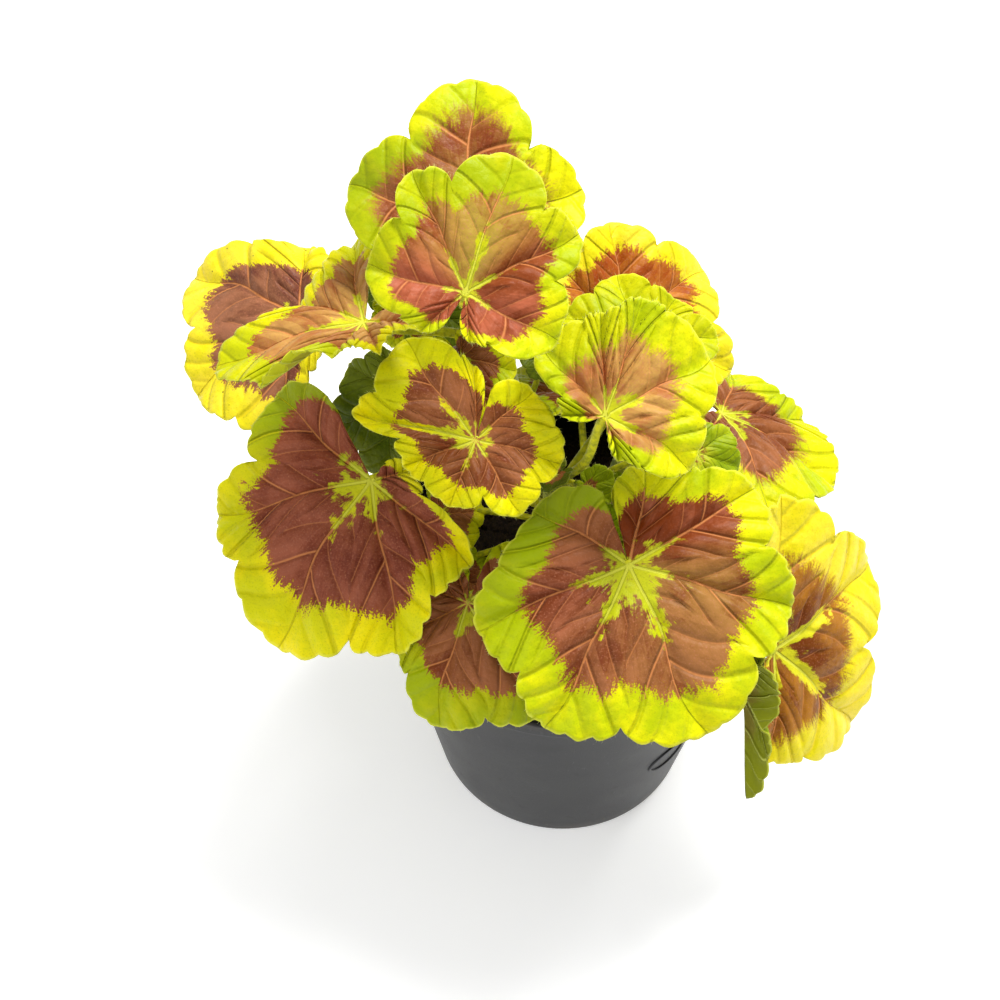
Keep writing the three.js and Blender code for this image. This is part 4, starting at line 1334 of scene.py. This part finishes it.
def ring_faces(steps, width):
    """Four-sided faces of a closed band whose points run round it and across it."""
    faces = []
    for i in range(steps):
        for k in range(width):
            m = (k + 1) % width
            a, b = i * width, (i + 1) % steps * width
            faces.append([a + k, b + k, b + m, a + m])
    return faces


def pot_skin():
    """Moulded plastic: dark satin grey, with faint scratches and scuffs, and dust by lip and foot."""
    g = Graph("pot_skin")
    where = g.where()
    height = g.parts(where)[2]
    broad = g.noise(where, 18 * MM, 3.0)
    fine = g.noise(where, 0.35 * MM)
    stretched = g.vector("MULTIPLY", where, (1.0, 1.0, 0.12))
    scratch = g.fade(g.noise(stretched, 0.8 * MM, 4.0, 0.7), 0.62, 0.72)
    scuff = g.fade(g.noise(where, 4 * MM, 5.0, 0.7), 0.62, 0.7)
    colour = g.shade(broad, 0.35, 0.65, PLASTIC)
    colour = g.tint(g.times(scratch, 0.25), colour, SCRATCH)
    colour = g.tint(g.times(scuff, 0.3), colour, SCUFF)
    dusty = g.plus(g.fade(height, 0.088, 0.093), g.fade(height, 0.008, 0.0))
    colour = g.tint(g.times(g.times(dusty, g.fade(broad, 0.4, 0.6)), 0.35), colour, DUST)
    roughness = g.plus(0.42, g.plus(g.times(scuff, 0.2), g.wobble(broad, 0.08)))
    relief = g.plus(g.times(fine, 0.05), g.times(scratch, -0.04))
    return g.finish(colour, roughness, relief, Specular_IOR_Level=0.25)


def make_floor():
    data = bpy.data.meshes.new("floor")
    corners = [(-1, -1), (1, -1), (1, 1), (-1, 1)]
    points = [(FLOOR_HALF * x, FLOOR_HALF * y, -FLOOR_ROOM) for x, y in corners]
    data.from_pydata(points, [], [(0, 1, 2, 3)])
    g = Graph("floor_paper")
    where = g.where()
    grain = g.noise(where, 1.5 * MM, 3.0)
    colour = g.mix(grain, *(paint(colour) for colour in PAPER))
    glow = {"Emission_Color": (1, 1, 1, 1), "Emission_Strength": FLOOR_GLOW}
    data.materials.append(g.finish(colour, 0.9, g.times(grain, 0.02), **glow))
    floor = put_in_scene("floor", data)


def make_light(name, at, size, watts):
    """A soft square light that faces the plant."""
    lamp = bpy.data.lights.new(name, "AREA")
    lamp.energy = watts
    lamp.size = size
    light = put_in_scene(name, lamp)
    light.location = at
    light.rotation_euler = (Vector(LIT_POINT) - Vector(at)).to_track_quat("-Z", "Y").to_euler()


def make_lights():
    """A white studio: pale light from all round, a soft light above and behind, a weaker one in front."""
    world = bpy.data.worlds.new("studio")
    world.use_nodes = True
    background = world.node_tree.nodes["Background"].inputs
    background["Color"].default_value = (1, 1, 1, 1)
    background["Strength"].default_value = WORLD_LIGHT
    bpy.context.scene.world = world
    bpy.context.scene.view_settings.view_transform = "Standard"
    for name, light in LIGHTS.items():
        make_light(name, **light)


def make_camera():
    data = bpy.data.cameras.new("camera")
    data.sensor_width = SENSOR_MM
    data.lens = SENSOR_MM * FOCAL_PIXELS / FRAME_PIXELS
    data.clip_start = 0.01
    camera = put_in_scene("camera", data)
    camera.location = [part * MM for part in CAMERA_AT]
    camera.rotation_euler = Euler((math.radians(90 - VIEW_ELEVATION), 0, 0))
    bpy.context.scene.camera = camera


make_camera()
make_lights()
make_floor()
make_pot()
make_soil()
make_stem()
STALK, HAIRS = stalk_skin(), hair_skin()
for place, (name, row) in enumerate(LEAVES.items()):
    make_leaf(name, leaf_of(name, row, place), STALK, HAIRS)
